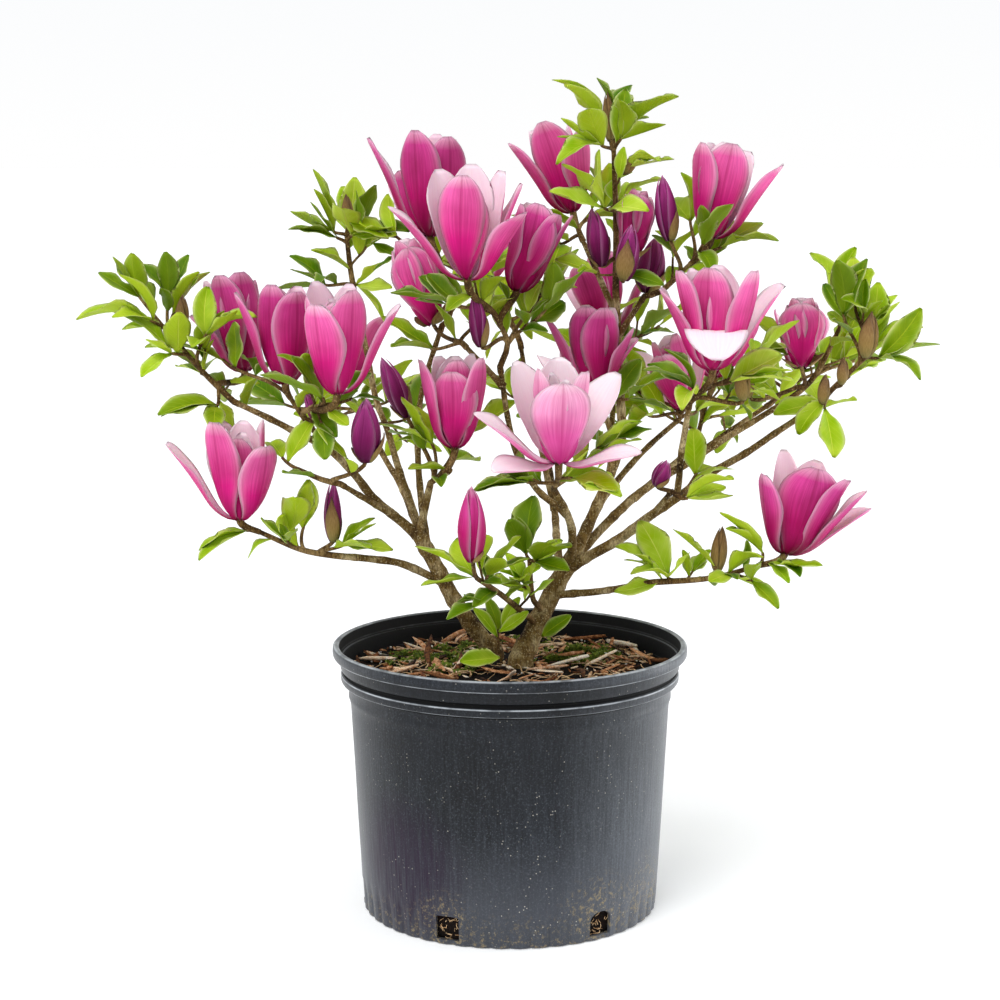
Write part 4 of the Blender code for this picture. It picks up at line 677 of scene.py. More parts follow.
def grow_limb(limb, grown):
    if limb.parent is None:
        start = Vector((*FEET[limb.name], MIX_TOP + GAP))
        first = [start, start + UP * FOOT_UPRIGHT]
    else:
        parent = grown[limb.parent]
        first = [along(parent.points, limb.at)[0]]
    points = smooth_path(first + [Vector(knot) for knot in limb.via] + [Vector(limb.tip)], BOUGH_SPACING)
    points = kinked(points, limb.name)
    return Wood(limb, points, tapered(points, limb.root_radius, limb.tip_radius, LIMB_TAPER))


def bark_relief(scars, seed):
    """Bark that stands out in short ridges, with a swelling at each old leaf scar."""
    def relief(spot, share):
        grain = noise.noise(spot * GRAIN_SCALE + seed)
        ridge = noise.noise(spot * Vector(RIDGE_SCALE) + seed)
        scar = sum(math.exp(-((share - place) / width) ** 2) for place, width in scars)
        return GRAIN_RELIEF * grain + RIDGE_RELIEF * ridge + SCAR_RELIEF * min(scar, DEEPEST_SCAR)
    return relief


def limb_radii(limb, points):
    """The limb's taper, with a flare at a trunk's foot or a collar at a bough's root."""
    radii = tapered(points, limb.root_radius, limb.tip_radius, LIMB_TAPER)
    for row, point in enumerate(points):
        if limb.parent is None:
            fade = max(0.0, 1.0 - max(0.0, point.z - MIX_TOP) / FLARE_HEIGHT)
            radii[row] *= 1.0 + FLARE[limb.name] * fade**1.5
        else:
            reach = (point - points[0]).length
            radii[row] *= 1.0 + COLLAR * math.exp(-((reach / (limb.root_radius * COLLAR_REACH)) ** 2))
    return radii


def add_limb(batch, wood, index):
    limb = wood.limb
    draw = random.Random(limb.name + "_bark")
    points = smooth_path(wood.points, LIMB_SPACING)
    if limb.parent is None:
        points = [points[0] - UP * FOOT_BURIED] + points
    length = path_length(points)
    scars = []
    place = draw.uniform(*FIRST_SCAR)
    while place < length - LAST_SCAR:
        scars.append((place / length, SCAR_WIDTH / length))
        place += draw.uniform(*SCAR_STEP)
    seed = Vector([index * step for step in BARK_SEED])
    strip = (index / len(LIMBS), (index + STRIP_FILLED) / len(LIMBS))
    add_tube(batch, points, limb_radii(limb, points), LIMB_SIDES, bark_relief(scars, seed), strip)


# Leaves and tepals are thin closed blades: two grids that share their border

Blade = namedtuple("Blade", "middle across outward half shares reach depth")


def unit_rows(vectors):
    return vectors / np.linalg.norm(vectors, axis=1)[:, None]


def add_blade(batch, blade, thickness):
    """Rows of points: middle + across * half * reach - outward * depth, with both faces."""
    rows, columns = blade.depth.shape
    outward = blade.outward[:, None, :]
    aside = blade.across[:, None, :] * (blade.half[:, None] * blade.reach)[..., None]
    center = blade.middle[:, None, :] + aside - outward * blade.depth[..., None]
    fade = (1.0 - np.abs(np.linspace(-1, 1, columns)) ** 4)[None, :] * np.ones((rows, 1))
    fade[[0, -1], :] = 0.0
    outer = center + outward * (fade * thickness / 2)[..., None]
    inner = center - outward * (fade * thickness / 2)[..., None]
    index = np.arange(rows * columns).reshape(rows, columns)
    back = index.copy()
    inside = np.zeros((rows, columns), dtype=bool)
    inside[1:-1, 1:-1] = True
    back[inside] = rows * columns + np.arange(inside.sum())
    columns_at = np.linspace(0.0, 1.0, columns)
    faces = []
    places = []
    for grid, face, order in ((index, 0.0, CORNERS), (back, 1.0, CORNERS[::-1])):
        ids = []
        spots = []
        for row, column in order:
            ids.append(grid[row:rows - 1 + row, column:columns - 1 + column].ravel())
            spot = np.zeros((rows - 1, columns - 1, 3))
            spot[..., 0] = blade.shares[row:rows - 1 + row, None]
            spot[..., 1] = columns_at[None, column:columns - 1 + column]
            spot[..., 2] = face
            spots.append(spot.reshape(-1, 3))
        faces.append(np.stack(ids, axis=1))
        places.append(np.stack(spots, axis=1))
    points = np.concatenate([outer.reshape(-1, 3), inner[inside]])
    batch.add(points, np.concatenate(faces), np.concatenate(places))


# Blooms

TEPAL_ROWS = 17
TEPAL_COLUMNS = 11
TEPAL_THICKNESS = 0.0010
TEPAL_ROOT = RECEPTACLE * 0.8
LAST_SHARE = 0.985
TEPAL_CUP = 52
TEPAL_BROADER = 1.16

# Tepals beyond the six that the solids have, in the same measures. The folded one adds its cup,
# in degrees
MORE_TEPALS = {
    "top_center": [(98, 42, 71, 24, 4)],
    "right_center": [(292, 32, 78, 28, 2), (0, 35, 14, 41, 150, 10)],
    "right_low": [(82, 46, 66, 26, 2)],
    "center_front": [(302, 18, 78, 24, -4), (52, 24, 78, 24, -4), (300, 56, 4, 28, 20)],
    "center_behind": [(98, 36, 40, 24, 14)],
    "center_left": [(10, 9, 70, 28, -10)],
    "top_left": [(350, 22, 42, 24, 24)],
}
# The round belly at a tepal's foot, in degrees, and the share of the length where it ends
BELLY = 48.0
BELLY_END = 0.34
# A tepal that curls more than this is folded over: where its bend ends, and from where and by
# how much the part that hangs narrows
FOLD = 100.0
FOLD_END = 0.70
FOLD_RIDGE = 0.58
FOLD_NARROWS = 0.25
# Unevenness: how far a tepal sways and twists (in degrees), how deep it waves, and its keel
SWAY = 0.035
TWIST = 5
WAVE_DEPTH = 0.0012
KEEL_DEPTH = 0.0009
KEEL_WIDTH = 0.12


def tepal_outline(shares):
    """The blade's width over its widest, at shares of its length: a narrow foot, a blunt tip."""
    swell = np.sin(math.pi * (0.05 + 0.95 * shares) ** 1.80) ** 0.57
    return swell * (1.0 - 0.10 * shares**6)


def bud_outline(shares):
    """A closed bud's girth over its widest, at shares of its length."""
    return np.sin(math.pi * (0.05 + 0.95 * shares) ** 0.86) ** 0.80


def tepal_bend(shares, curl):
    """Degrees from the lean: a round belly at the foot, then a slow curl or a fold that hangs."""
    belly = BELLY * np.maximum(0.0, 1.0 - shares / BELLY_END) ** 1.2
    end = FOLD_END if abs(curl) > FOLD else 1.0
    return belly + curl * np.clip((shares - BELLY_END) / (end - BELLY_END), 0.0, 1.0) ** 1.4


def tepal_line(tepal, shares, steps=96):
    """How far out and up the blade's middle is at these shares of its length, and its tilt."""
    tilt = np.radians(tepal.lean + tepal_bend((np.arange(steps) + 0.5) / steps, tepal.curl))
    out = np.concatenate([[0.0], np.cumsum(np.sin(tilt))]) * tepal.length / steps + TEPAL_ROOT
    up = np.concatenate([[0.0], np.cumsum(np.cos(tilt))]) * tepal.length / steps
    at = shares * steps
    whole = np.arange(steps + 1)
    return np.interp(at, whole, out), np.interp(at, whole, up), np.interp(at, np.arange(steps) + 0.5, tilt)


def tepal_widths(tepal, shares, out):
    """Half the width at each share, no wider at the foot than the bloom has room for."""
    half = tepal_outline(shares) * tepal.width / 2
    if abs(tepal.curl) > FOLD:
        hanging = np.clip((shares - FOLD_RIDGE) / (1.0 - FOLD_RIDGE), 0.0, 1.0)
        half = half * (1.0 - FOLD_NARROWS * hanging**1.6)
    room = np.maximum(out, 0.0035) * 1.25
    return np.minimum(half, room + half * shares)


def tepal_depths(half, shares, cup, draw):
    """How far across and how deep each point of the cupped, wavy blade is."""
    sides = np.linspace(-1.0, 1.0, TEPAL_COLUMNS)[None, :]
    bend = (np.radians(cup) * (1.0 - 0.35 * shares))[:, None]
    angle = bend * sides
    phase = draw.uniform(0, RANDOM_TURN)
    wave = np.sin(shares * draw.uniform(7, 11) + phase)[:, None] * sides**3
    wave += np.sin(shares * draw.uniform(13, 17) + 2 * phase)[:, None] * np.abs(sides) ** 5 * 0.6
    depth = half[:, None] * (1.0 - np.cos(angle)) / bend
    depth = depth + wave * WAVE_DEPTH * shares[:, None]
    depth = depth - KEEL_DEPTH * np.exp(-(sides / KEEL_WIDTH) ** 2) * (1.0 - shares[:, None])
    return np.sin(angle) / bend, depth


def add_tepal(batch, base, frame_axes, tepal, seed):
    """A cupped blade: a round belly at its foot, then its lean, then a curl towards its tip."""
    across, forward, face = frame_axes
    draw = random.Random(seed)
    around = math.radians(tepal.turn)
    out_way = np.array(across * math.sin(around) + face * math.cos(around))
    rise = np.array(forward)
    side = np.cross(rise, out_way)
    shares = (1.0 - (1.0 - np.linspace(0.0, 1.0, TEPAL_ROWS)) ** 1.12) * LAST_SHARE
    out, up, tilt = tepal_line(tepal, shares)
    sway = draw.uniform(-SWAY, SWAY) * tepal.length * np.sin(shares * math.pi * 0.9)
    middle = np.array(base) + out[:, None] * out_way + up[:, None] * rise + sway[:, None] * side
    outward = np.cos(tilt)[:, None] * out_way - np.sin(tilt)[:, None] * rise
    twist = np.radians(draw.uniform(-TWIST, TWIST)) * shares
    width_way = np.cos(twist)[:, None] * side + np.sin(twist)[:, None] * outward
    outward = np.cos(twist)[:, None] * outward - np.sin(twist)[:, None] * side
    half = tepal_widths(tepal, shares, out)
    reach, depth = tepal_depths(half, shares, tepal.cup, draw)
    add_blade(batch, Blade(middle, width_way, outward, half, shares, reach, depth), TEPAL_THICKNESS)


def aimed_tepal(turn, out, rise, width, curl, cup=TEPAL_CUP):
    """The tepal whose tip is this far out and up from the bloom's foot, in millimetres."""
    steps = 48
    tilt = np.radians(tepal_bend((np.arange(steps) + 0.5) / steps, curl))
    across, up = np.sin(tilt).mean(), np.cos(tilt).mean()
    out, rise = out / 1000 - TEPAL_ROOT, rise / 1000
    lean = math.atan2(out, rise) - math.atan2(across, up)
    length = math.hypot(out, rise) / math.hypot(across, up)
    return Tepal(turn, math.degrees(lean), curl, length, width / 1000 * TEPAL_BROADER, cup)


def spread_tepals(bloom, draw):
    """Six tepals in turn, one that leans and one that spreads, wider apart in an open bloom."""
    opening = bloom.opening
    for index in range(6):
        if index % 2 == 0:
            share, width, lean, curl = 0.97, 0.46, -6 + 16 * opening, -8 + 4 * opening
        else:
            share, width, lean, curl = 1.0, 0.50, 6 + 46 * opening, -12 + 34 * opening
        length = bloom.length * share * draw.uniform(0.96, 1.03)
        yield Tepal(bloom.turn + 60 * index, lean + draw.uniform(-3, 3), curl + draw.uniform(-4, 4),
                    length, bloom.length * width * draw.uniform(0.94, 1.06), TEPAL_CUP)


def bloom_tepals(bloom):
    """The measured tepals or six by rule, and three short erect ones in the middle."""
    draw = random.Random(f"{bloom.base}")
    if bloom.shape:
        for row in SHAPES[bloom.shape] + MORE_TEPALS.get(bloom.shape, []):
            yield aimed_tepal(*row)
    else:
        yield from spread_tepals(bloom, draw)
    for index in range(3):
        length = bloom.length * draw.uniform(0.80, 0.88)
        yield Tepal(bloom.turn + 120 * index + 60 + draw.uniform(-12, 12), -7 + 8 * bloom.opening,
                    -10, length, bloom.length * 0.40, 60)


def closed_tepals(bud):
    """A bloom about to open: six tepals that lean together, the inner three taller."""
    draw = random.Random(f"{bud.base}")
    first = draw.uniform(-10, 10)
    for index in range(6):
        inner = index % 2 == 1
        rise = bud.length * (1.0 if inner else 0.93) * draw.uniform(0.97, 1.02) * 1000
        out = bud.width * (0.20 if inner else 0.34) * 1000
        width = bud.width * (0.86 if inner else 0.98) * 1000
        yield aimed_tepal(first + 60 * index, out, rise, width, -12 if inner else -6, 66)


# Buds

# What wraps round a bud: its turn in degrees, how much it flares, its length, its twist in degrees,
# its lift off the bud's skin, how far it spreads each way in degrees, and how pointed it is
Wrap = namedtuple("Wrap", "turn flare length twist lift spread pointed", defaults=(0.0,))

WRAP_ROWS = 13
WRAP_COLUMNS = 9
WRAP_THICKNESS = TEPAL_THICKNESS * 0.8
BUD_SUNK = 0.002


def add_wrapped(batch, base, frame_axes, wrap, width, whole):
    """A petal or a bract that follows the round skin of a closed bud of this whole length."""
    across, forward, face = (np.array(axis) for axis in frame_axes)
    shares = np.linspace(0.0, LAST_SHARE, WRAP_ROWS)
    girth = bud_outline(np.minimum(shares * wrap.length / whole, 1.0))
    radius = width / 2 * girth * (1.0 + wrap.flare * shares) + wrap.lift
    radius = np.maximum(radius, 0.0006 + wrap.lift)
    span = np.radians(wrap.spread) * (1.0 - 0.55 * shares**3) * (1.0 - wrap.pointed * shares**1.6)
    sides = np.linspace(-1.0, 1.0, WRAP_COLUMNS)[None, :]
    narrow = np.sqrt(np.maximum(0.0, 1.0 - shares**5))
    angle = (span[:, None] * sides + np.radians(wrap.twist) * shares[:, None]) * narrow[:, None]
    angle = math.radians(wrap.turn) + angle
    rise = np.array(base) + (shares * wrap.length)[:, None] * forward
    ring = radius[:, None] * (1.0 - 0.05 * np.abs(sides) ** 3)
    spots = (
        rise[:, None, :]
        + (ring * np.sin(angle))[..., None] * across
        + (ring * np.cos(angle))[..., None] * face
    )
    middle = spots[:, WRAP_COLUMNS // 2, :]
    outward = unit_rows(middle - rise + 1e-9)
    width_way = unit_rows(np.cross(outward, forward) + 1e-9)
    offset = spots - middle[:, None, :]
    reach = (offset * width_way[:, None, :]).sum(axis=2)
    depth = -(offset * outward[:, None, :]).sum(axis=2)
    blade = Blade(middle, width_way, outward, np.ones(WRAP_ROWS), shares, reach, depth)
    add_blade(batch, blade, WRAP_THICKNESS)


def add_core(batch, base, forward, width, length):
    """The rolled heart of a bud, which closes it to its tip."""
    shares = np.linspace(0.0, 1.0, 12)
    points = [Vector(base) + forward * (share * length) for share in shares]
    add_tube(batch, points, [max(0.0004, 0.47 * width * girth) for girth in bud_outline(shares)], 12)


def bract_covers(bud, kind, draw):
    """How much of the bud's length each of its bracts covers."""
    if bud.width >= CLOSED_BLOOM:
        return 0.20, 0.14
    if kind == "bare":
        return (0.16,)
    if kind == "covered":
        return 0.78, 0.62
    return draw.uniform(0.44, 0.58), draw.uniform(0.20, 0.28)


def add_bud(petals, bracts, bud, kind):
    """A closed bud: dark petals rolled round each other, and fuzzy bracts at the foot."""
    axis = lean_axis(bud.right, bud.front)
    axes = turn_frame(axis, FLOWER_FACE)
    base = Vector(bud.base) - axis * BUD_SUNK
    draw = random.Random(f"{bud.base}")
    turn = draw.uniform(0, 360)
    brown = kind == "brown"
    if bud.width >= CLOSED_BLOOM:
        for index, tepal in enumerate(closed_tepals(bud)):
            add_tepal(petals, base, axes, tepal, f"{bud.base}{index}")
    else:
        add_core(bracts if brown else petals, base, axis, bud.width, bud.length)
    if bud.width < CLOSED_BLOOM and not brown:
        for index in range(5):
            length = bud.length * draw.uniform(0.975, 1.0)
            petal = Wrap(turn + 72 * index, draw.uniform(-0.06, 0.02), length, draw.uniform(14, 40),
                         0.0002 + 0.0006 * (index % 3), 58)
            add_wrapped(petals, base, axes, petal, bud.width * (0.90 + 0.04 * (index % 3)), bud.length)
    side = BRACT_SIDE + draw.uniform(-25, 25)
    if brown:
        for index in range(3):
            length = bud.length * draw.uniform(0.90, 1.0)
            twist = draw.uniform(4, 14)
            bract = Wrap(side + 120 * index, 0.0, length, twist, 0.0002 + 0.0004 * index, 74, 0.3)
            add_wrapped(bracts, base, axes, bract, bud.width, bud.length * 1.02)
        return
    covered = kind == "covered"
    if covered:
        side = -12.0
    for index, cover in enumerate(bract_covers(bud, kind, draw)):
        bract = Wrap(side + 170 * index, 0.10, bud.length * cover, 4, 0.0009, 78 if covered else 66, 0.85)
        add_wrapped(bracts, base, axes, bract, bud.width * 1.04, bud.length)


def bud_kind(mass, bud):
    """Which buds are still wrapped in brown bracts, which mostly covered and which all but bare."""
    if bud.width < BROWN_BUD or mass.name in BROWN_BUD_MASSES:
        return "brown"
    if bud.base in COVERED_BUDS:
        return "covered"
    if mass.name in BARE_BUD_MASSES:
        return "bare"
    return "open"


# Leaves

LEAF_ROWS = 11
LEAF_COLUMNS = 9
LEAF_THICKNESS = 0.0006
LEAST_HALF_WIDTH = 0.0006
LEAF_WAVE = 0.07
# The leaf's stalk: the share of the length that it takes, and its width to the leaf's
PETIOLE = 0.14
PETIOLE_WIDTH = 0.035
STALK_ROWS = 2


def leaf_blade(root, direction, normal, length, width, seed):
    """A leaf's blade: folded along its midrib, drooping, and a little wavy."""
    across, forward, face = (np.array(axis) for axis in turn_frame(direction, normal))
    draw = random.Random(seed)
    shares = np.linspace(0.0, LAST_SHARE, LEAF_ROWS) ** 0.92
    bulge = np.sin(math.pi * shares)
    droop = draw.uniform(-0.06, 0.30)
    lift = draw.uniform(-0.05, 0.10)
    curve = lift * bulge - droop * shares**2.2
    sway = draw.uniform(-0.06, 0.06) * bulge
    middle = (
        np.array(root)
        + (shares * length)[:, None] * forward
        + (curve * length)[:, None] * face
        + (sway * length)[:, None] * across
    )
    ways = unit_rows(np.gradient(middle, axis=0))
    width_way = unit_rows(across - (ways @ across)[:, None] * ways)
    outline = np.sin(math.pi * shares**1.12) ** 0.78 * (1.0 - 0.10 * shares**5)
    stalk = np.maximum(outline * (shares / PETIOLE) ** 1.5, PETIOLE_WIDTH)
    outline = np.where(shares < PETIOLE, stalk, outline)
    half = outline * width / 2 + LEAST_HALF_WIDTH
    sides = np.linspace(-1.0, 1.0, LEAF_COLUMNS)[None, :]
    fold = math.radians(draw.uniform(8, 36))
    phase = draw.uniform(0, RANDOM_TURN)
    wave = np.sin(shares * draw.uniform(9, 15) + phase)[:, None] * sides**2 * LEAF_WAVE
    wave = wave + np.cos(shares * draw.uniform(7, 12) + phase)[:, None] * sides**3 * LEAF_WAVE
    reach = np.ones((LEAF_ROWS, 1)) * sides * math.cos(fold)
    depth = -np.abs(sides) * half[:, None] * math.sin(fold)
    depth = depth + wave * width * bulge[:, None]
    return Blade(middle, width_way, np.cross(width_way, ways), half, shares, reach, depth)


def leaf_tree(blade):
    """A rough copy of the blade beyond its stalk, to test what it would touch."""
    edges = []
    for side in (0, -1):
        wide = blade.across * (blade.half * blade.reach[:, side])[:, None]
        edges.append(blade.middle + wide - blade.outward * blade.depth[:, side][:, None])
    rows = LEAF_ROWS
    faces = [(row, row + 1, rows + row + 1, rows + row) for row in range(STALK_ROWS, rows - 1)]
    return BVHTree.FromPolygons(np.concatenate(edges).tolist(), faces)


# Masses of foliage: the solids' stems and twigs, then finer twigs and all the leaves

STEM_RISE = 0.005
FINE_STEM_SPACING = 0.006
STEM_RADIUS = 0.0026
BUD_STALK_RADIUS = TWIG_RADIUS * 1.15
# Where twigs may leave a stem, and how near to it a tip may be
FORKS = (0.25, 0.4, 0.55, 0.7, 0.85, 0.97)
NEAREST_FORK = 0.004
SWING = 0.33
TWIG_LIFT = 0.35
# Side twigs, finer than any in the solids
SIDE_TWIG_SPACING = 0.042
FINE_REACH = (0.012, 0.028)
FINE_RADIUS = 0.0011
FINE_TIP_RADIUS = 0.0009
TWIG_SIDES = 8
# Where leaves begin and end along each kind of twig, and how large they are there
LEAF_SPACING = 0.033
BARE_FOOT = {"leafy": 0.30, "bloom": 0.35, "bud": 0.35, "stem": 0.35, "fine": 0.50}
LEAFY_REACH = {"leafy": 0.96, "bloom": 0.86, "bud": 0.84, "stem": 0.94, "fine": 0.70}
LEAF_SHARE = {"leafy": 0.92, "bloom": 0.80, "bud": 0.80, "stem": 0.80, "fine": 0.62}
END_SHARES = (0.93, 0.99)
# How far a leaf may pass the solids' box, and how far above the mix it stays
BOX_MARGIN = 0.006
MIX_MARGIN = 0.002


class Growth:
    """The twigs of one mass, and the leaf tip at which some of them aim, by the twig's number."""

    def __init__(self, mass):
        self.mass = mass
        self.sprigs = []
        self.aims = {}

    def add(self, kind, path, radius, tip_radius):
        self.sprigs.append(Sprig(kind, path, radius, tip_radius))


def stem_start(mass, grown):
    """Where a mass leaves its limb, which way it goes and how thick it is there."""
    limb = grown[mass.limb]
    if mass.at >= 1.0:
        way = (limb.points[-1] - limb.points[-2]).normalized()
        return limb.points[-1] + way * GAP, way, limb.radii[-1]
    place, tangent = along(limb.points, mass.at)
    toward = Vector(mass.stem[0]) - place
    way = (toward - tangent * toward.dot(tangent)).normalized()
    radius = np.interp(mass.at, path_shares(limb.points), limb.radii)
    return place + way * (radius + GAP * 2), way, STALK_RADIUS


def take_off(stem, tip):
    """The fork of the stem from which a twig reaches this tip with the least length and bend."""
    best = None
    for share in FORKS:
        place, tangent = along(stem, share)
        way = tip - place
        if way.length < NEAREST_FORK:
            continue
        cost = way.length * (1.0 + LEAN_COST * (1.0 - tangent.dot(way.normalized())))
        if best is None or cost < best[0]:
            best = (cost, place, tangent)
    return best[1:]


def sprig_path(place, tangent, tip, arrive, steps=8):
    """A curve that leaves along the tangent and reaches the tip along another way."""
    reach = (tip - place).length
    points = []
    for step in range(steps + 1):
        t = step / steps
        points.append(
            place * (1 - t) ** 3
            + (place + tangent * reach * SWING) * (3 * t * (1 - t) ** 2)
            + (tip - arrive * reach * SWING) * (3 * t**2 * (1 - t))
            + tip * t**3
        )
    return points


def leafy_tips(mass):
    """The tip of each leafy twig, and the tip of the leaf at its end where that is measured."""
    draw = random.Random(mass.name)
    middle = sum((Vector(knot) for knot in mass.stem), Vector()) / len(mass.stem)
    for tuft in mass.tufts:
        if len(tuft) == 2:
            yield Vector(tuft[0]), Vector(tuft[1])
        else:
            yield Vector(tuft), None
    for index in range(mass.extra):
        angle = GOLDEN_ANGLE * index + draw.uniform(0.0, 1.5)
        rise = draw.uniform(-0.15, 0.8)
        flat = math.sqrt(max(0.0, 1.0 - rise * rise))
        way = Vector((math.cos(angle) * flat, math.sin(angle) * flat, rise))
        yield middle + way * mass.reach * draw.uniform(0.75, 1.1), None


def grow_frame(growth, grown):
    """The stem, the twigs with blooms and buds, and the leafy twigs."""
    mass = growth.mass
    start, way, radius = stem_start(mass, grown)
    knots = [start, start + way * STEM_RISE] + [Vector(knot) for knot in mass.stem]
    stem = smooth_path(knots, STEM_SPACING)
    growth.add("stem", smooth_path(knots, FINE_STEM_SPACING), max(radius, STEM_RADIUS), STEM_TIP_RADIUS)
    stalks = [("bloom", bloom, STALK_RADIUS, STALK_TIP_RADIUS) for bloom in mass.blooms]
    stalks += [("bud", bud, BUD_STALK_RADIUS, TWIG_RADIUS) for bud in mass.buds]
    for kind, flower, radius, tip_radius in stalks:
        base = Vector(flower.base)
        path = sprig_path(*take_off(stem, base), base, lean_axis(flower.right, flower.front))
        growth.add(kind, path, radius, tip_radius)
    for tip, leaf_tip in leafy_tips(mass):
        place, tangent = take_off(stem, tip)
        way = (tip - place).normalized()
        if leaf_tip is None:
            arrive = (way + UP * TWIG_LIFT).normalized()
        else:
            arrive = (way + (leaf_tip - tip).normalized()).normalized()
            growth.aims[len(growth.sprigs)] = leaf_tip
        growth.add("leafy", sprig_path(place, tangent, tip, arrive), TWIG_RADIUS, TWIG_TIP_RADIUS)


def grow_side_twigs(growth):
    """Short finer twigs, by the golden angle, along every twig of the mass."""
    draw = random.Random(growth.mass.name + "_fine")
    angle = draw.uniform(0.0, RANDOM_TURN)
    for sprig in list(growth.sprigs):
        count = int(path_length(sprig.path) / SIDE_TWIG_SPACING)
        for index in range(count):
            angle += GOLDEN_ANGLE
            share = (index + 0.6) / (count + 0.2)
            place, tangent = along(sprig.path, share)
            across, forward, face = turn_frame(tangent, UP)
            out = across * math.cos(angle) + face * math.sin(angle)
            way = (forward * 0.6 + out * 0.8 + UP * 0.25).normalized()
            tip = place + way * draw.uniform(*FINE_REACH)
            path = sprig_path(place, tangent, tip, (way + UP * 0.5).normalized(), 4)
            growth.add("fine", path, FINE_RADIUS, FINE_TIP_RADIUS)


def leaf_places(kind, path, aim, draw):
    """Place, direction, upper face and length of each leaf, by a golden-angle rule."""
    if aim is not None:
        place = along(path, AIMED_SHARE)[0]
        yield place, (aim - place).normalized(), UP, (aim - place).length
    angle = draw.uniform(0.0, FULL_TURN)
    first, last = BARE_FOOT[kind], LEAFY_REACH[kind]
    count = round(path_length(path) / LEAF_SPACING)
    shares = [first + (last - first) * (index + 0.5) / count for index in range(count)]
    ends = END_SHARES if kind in ("leafy", "fine") else ()
    for index, share in enumerate(shares + list(ends)):
        angle += GOLDEN_ANGLE
        place, tangent = along(path, share)
        across, forward, face = turn_frame(tangent, UP)
        at_tip = index >= len(shares)
        spread = math.radians(draw.uniform(*(TIP_SPREAD if at_tip else SIDE_SPREAD)))
        out = across * math.cos(angle) + face * math.sin(angle)
        way = forward * math.cos(spread) + out * math.sin(spread) + UP * LEAF_RISE
        size = LEAF_LENGTH * (1.0 + draw.uniform(-LEAF_SPREAD, LEAF_SPREAD))
        size *= LEAF_SHARE[kind] * (1.0 if at_tip else SIDE_LEAF)
        up = Vector((draw.uniform(-0.45, 0.45), draw.uniform(-0.65, 0.25), 1.0)) + tangent * 0.4
        yield place, way.normalized(), up.normalized(), size


def has_room(blade, flowers):
    """Whether a leaf stays in the solids' box, above the mix, and out of the blooms and buds."""
    low, high = blade.middle.min(axis=0), blade.middle.max(axis=0)
    inside = all(low[axis] > cad_box[0][axis] - BOX_MARGIN and high[axis] < cad_box[1][axis] + BOX_MARGIN
                 for axis in range(3))
    if not inside or low[2] < MIX_TOP + MIX_MARGIN:
        return False
    tree = leaf_tree(blade)
    return not any(tree.overlap(flower) for flower in flowers)


# Pot

POT_STEPS = 384
FLUTES = 48
FLUTE_DEPTH = 0.0018
FLUTE_TOP = 0.027
RIM_INNER = RIM_RADIUS - RIM_LIP
# The rounded top of the lip
LIP_STEPS = 8
LIP_REACH = 0.00265
LIP_RISE = 0.0022
# The tapered body: its top, its rings, and the height and radius that its taper aims at
BODY_TOP = 0.1685
BODY_STEPS = 34
TAPER_TOP = 0.1805
TAPER_RADIUS = SHOULDER_RADIUS - 0.0011
FOOT_EDGE = 0.0012
# Unevenness of the wall: its size, and how often it changes round and up the pot
DENTS = 0.00018
DENT_SCALE = (6, 20)
SHARP_EDGE = math.radians(38)
# Drain holes: how much of the height the rounded top takes, and the powers that square it
HOLE_STEPS = 8
SQUARE_HOLE = (0.002, 0.25, 0.5)
ARCHED_HOLE = (0.006, 1.0, 1.0)
CUTTER_REACH = 0.012


def round_point(radius, angle, height):
    """A point at this angle round the pot, counted from its front towards its right."""
    return (radius * math.sin(angle), -radius * math.cos(angle), height)


def pot_rim():
    """The outer side from the lip down to the body, as radius and height."""
    rim = []
    for step in range(LIP_STEPS + 1):
        angle = math.pi * step / LIP_STEPS
        rim.append((RIM_INNER + LIP_REACH - LIP_REACH * math.cos(angle),
                    POT_HEIGHT - LIP_RISE + LIP_RISE * math.sin(angle)))
    # Each stretch: the radius it keeps to, then how far in or out its points are and their heights
    for radius, stretch in (
        (RIM_RADIUS, ((0.0, 0.2072), (-0.0003, 0.2045), (-0.0012, 0.2032))),
        (BAND_RADIUS, ((0.0022, 0.2026), (0.0011, 0.2018), (0.0007, 0.2000), (0.0002, 0.1965),
                       (0.0, 0.1944), (-0.0005, 0.1936))),
        (RING_RADIUS, ((-0.0016, 0.1930), (-0.0022, 0.1922), (-0.0021, 0.1912), (-0.0012, 0.1904),
                       (0.0, 0.1896), (0.0003, 0.1880), (0.0001, 0.1845), (-0.0008, 0.1832))),
        (SHOULDER_RADIUS, ((0.0016, 0.1824), (0.0002, 0.1815), (-0.0003, 0.1800), (-0.0008, 0.1745),
                           (-0.0003, 0.1725), (-0.0004, 0.1705), (-0.0011, BODY_TOP))),
    ):
        rim += [(radius + offset, height) for offset, height in stretch]
    return rim


def pot_body():
    """The tapered body, from below the shoulder down to the foot, and the underside."""
    heights = [BODY_TOP * (1.0 - (step + 1) / BODY_STEPS) ** 0.8 for step in range(BODY_STEPS)]
    body = [(FOOT_RADIUS + (TAPER_RADIUS - FOOT_RADIUS) * (height / TAPER_TOP), height)
            for height in heights if height >= FOOT_EDGE]
    return body + [
        (FOOT_RADIUS - 0.0002, 0.0011), (FOOT_RADIUS - 0.0012, 0.0002), (FOOT_RADIUS - 0.0035, 0.0),
        (0.095, 0.0), (0.05, 0.0), (0.012, 0.0),
    ]


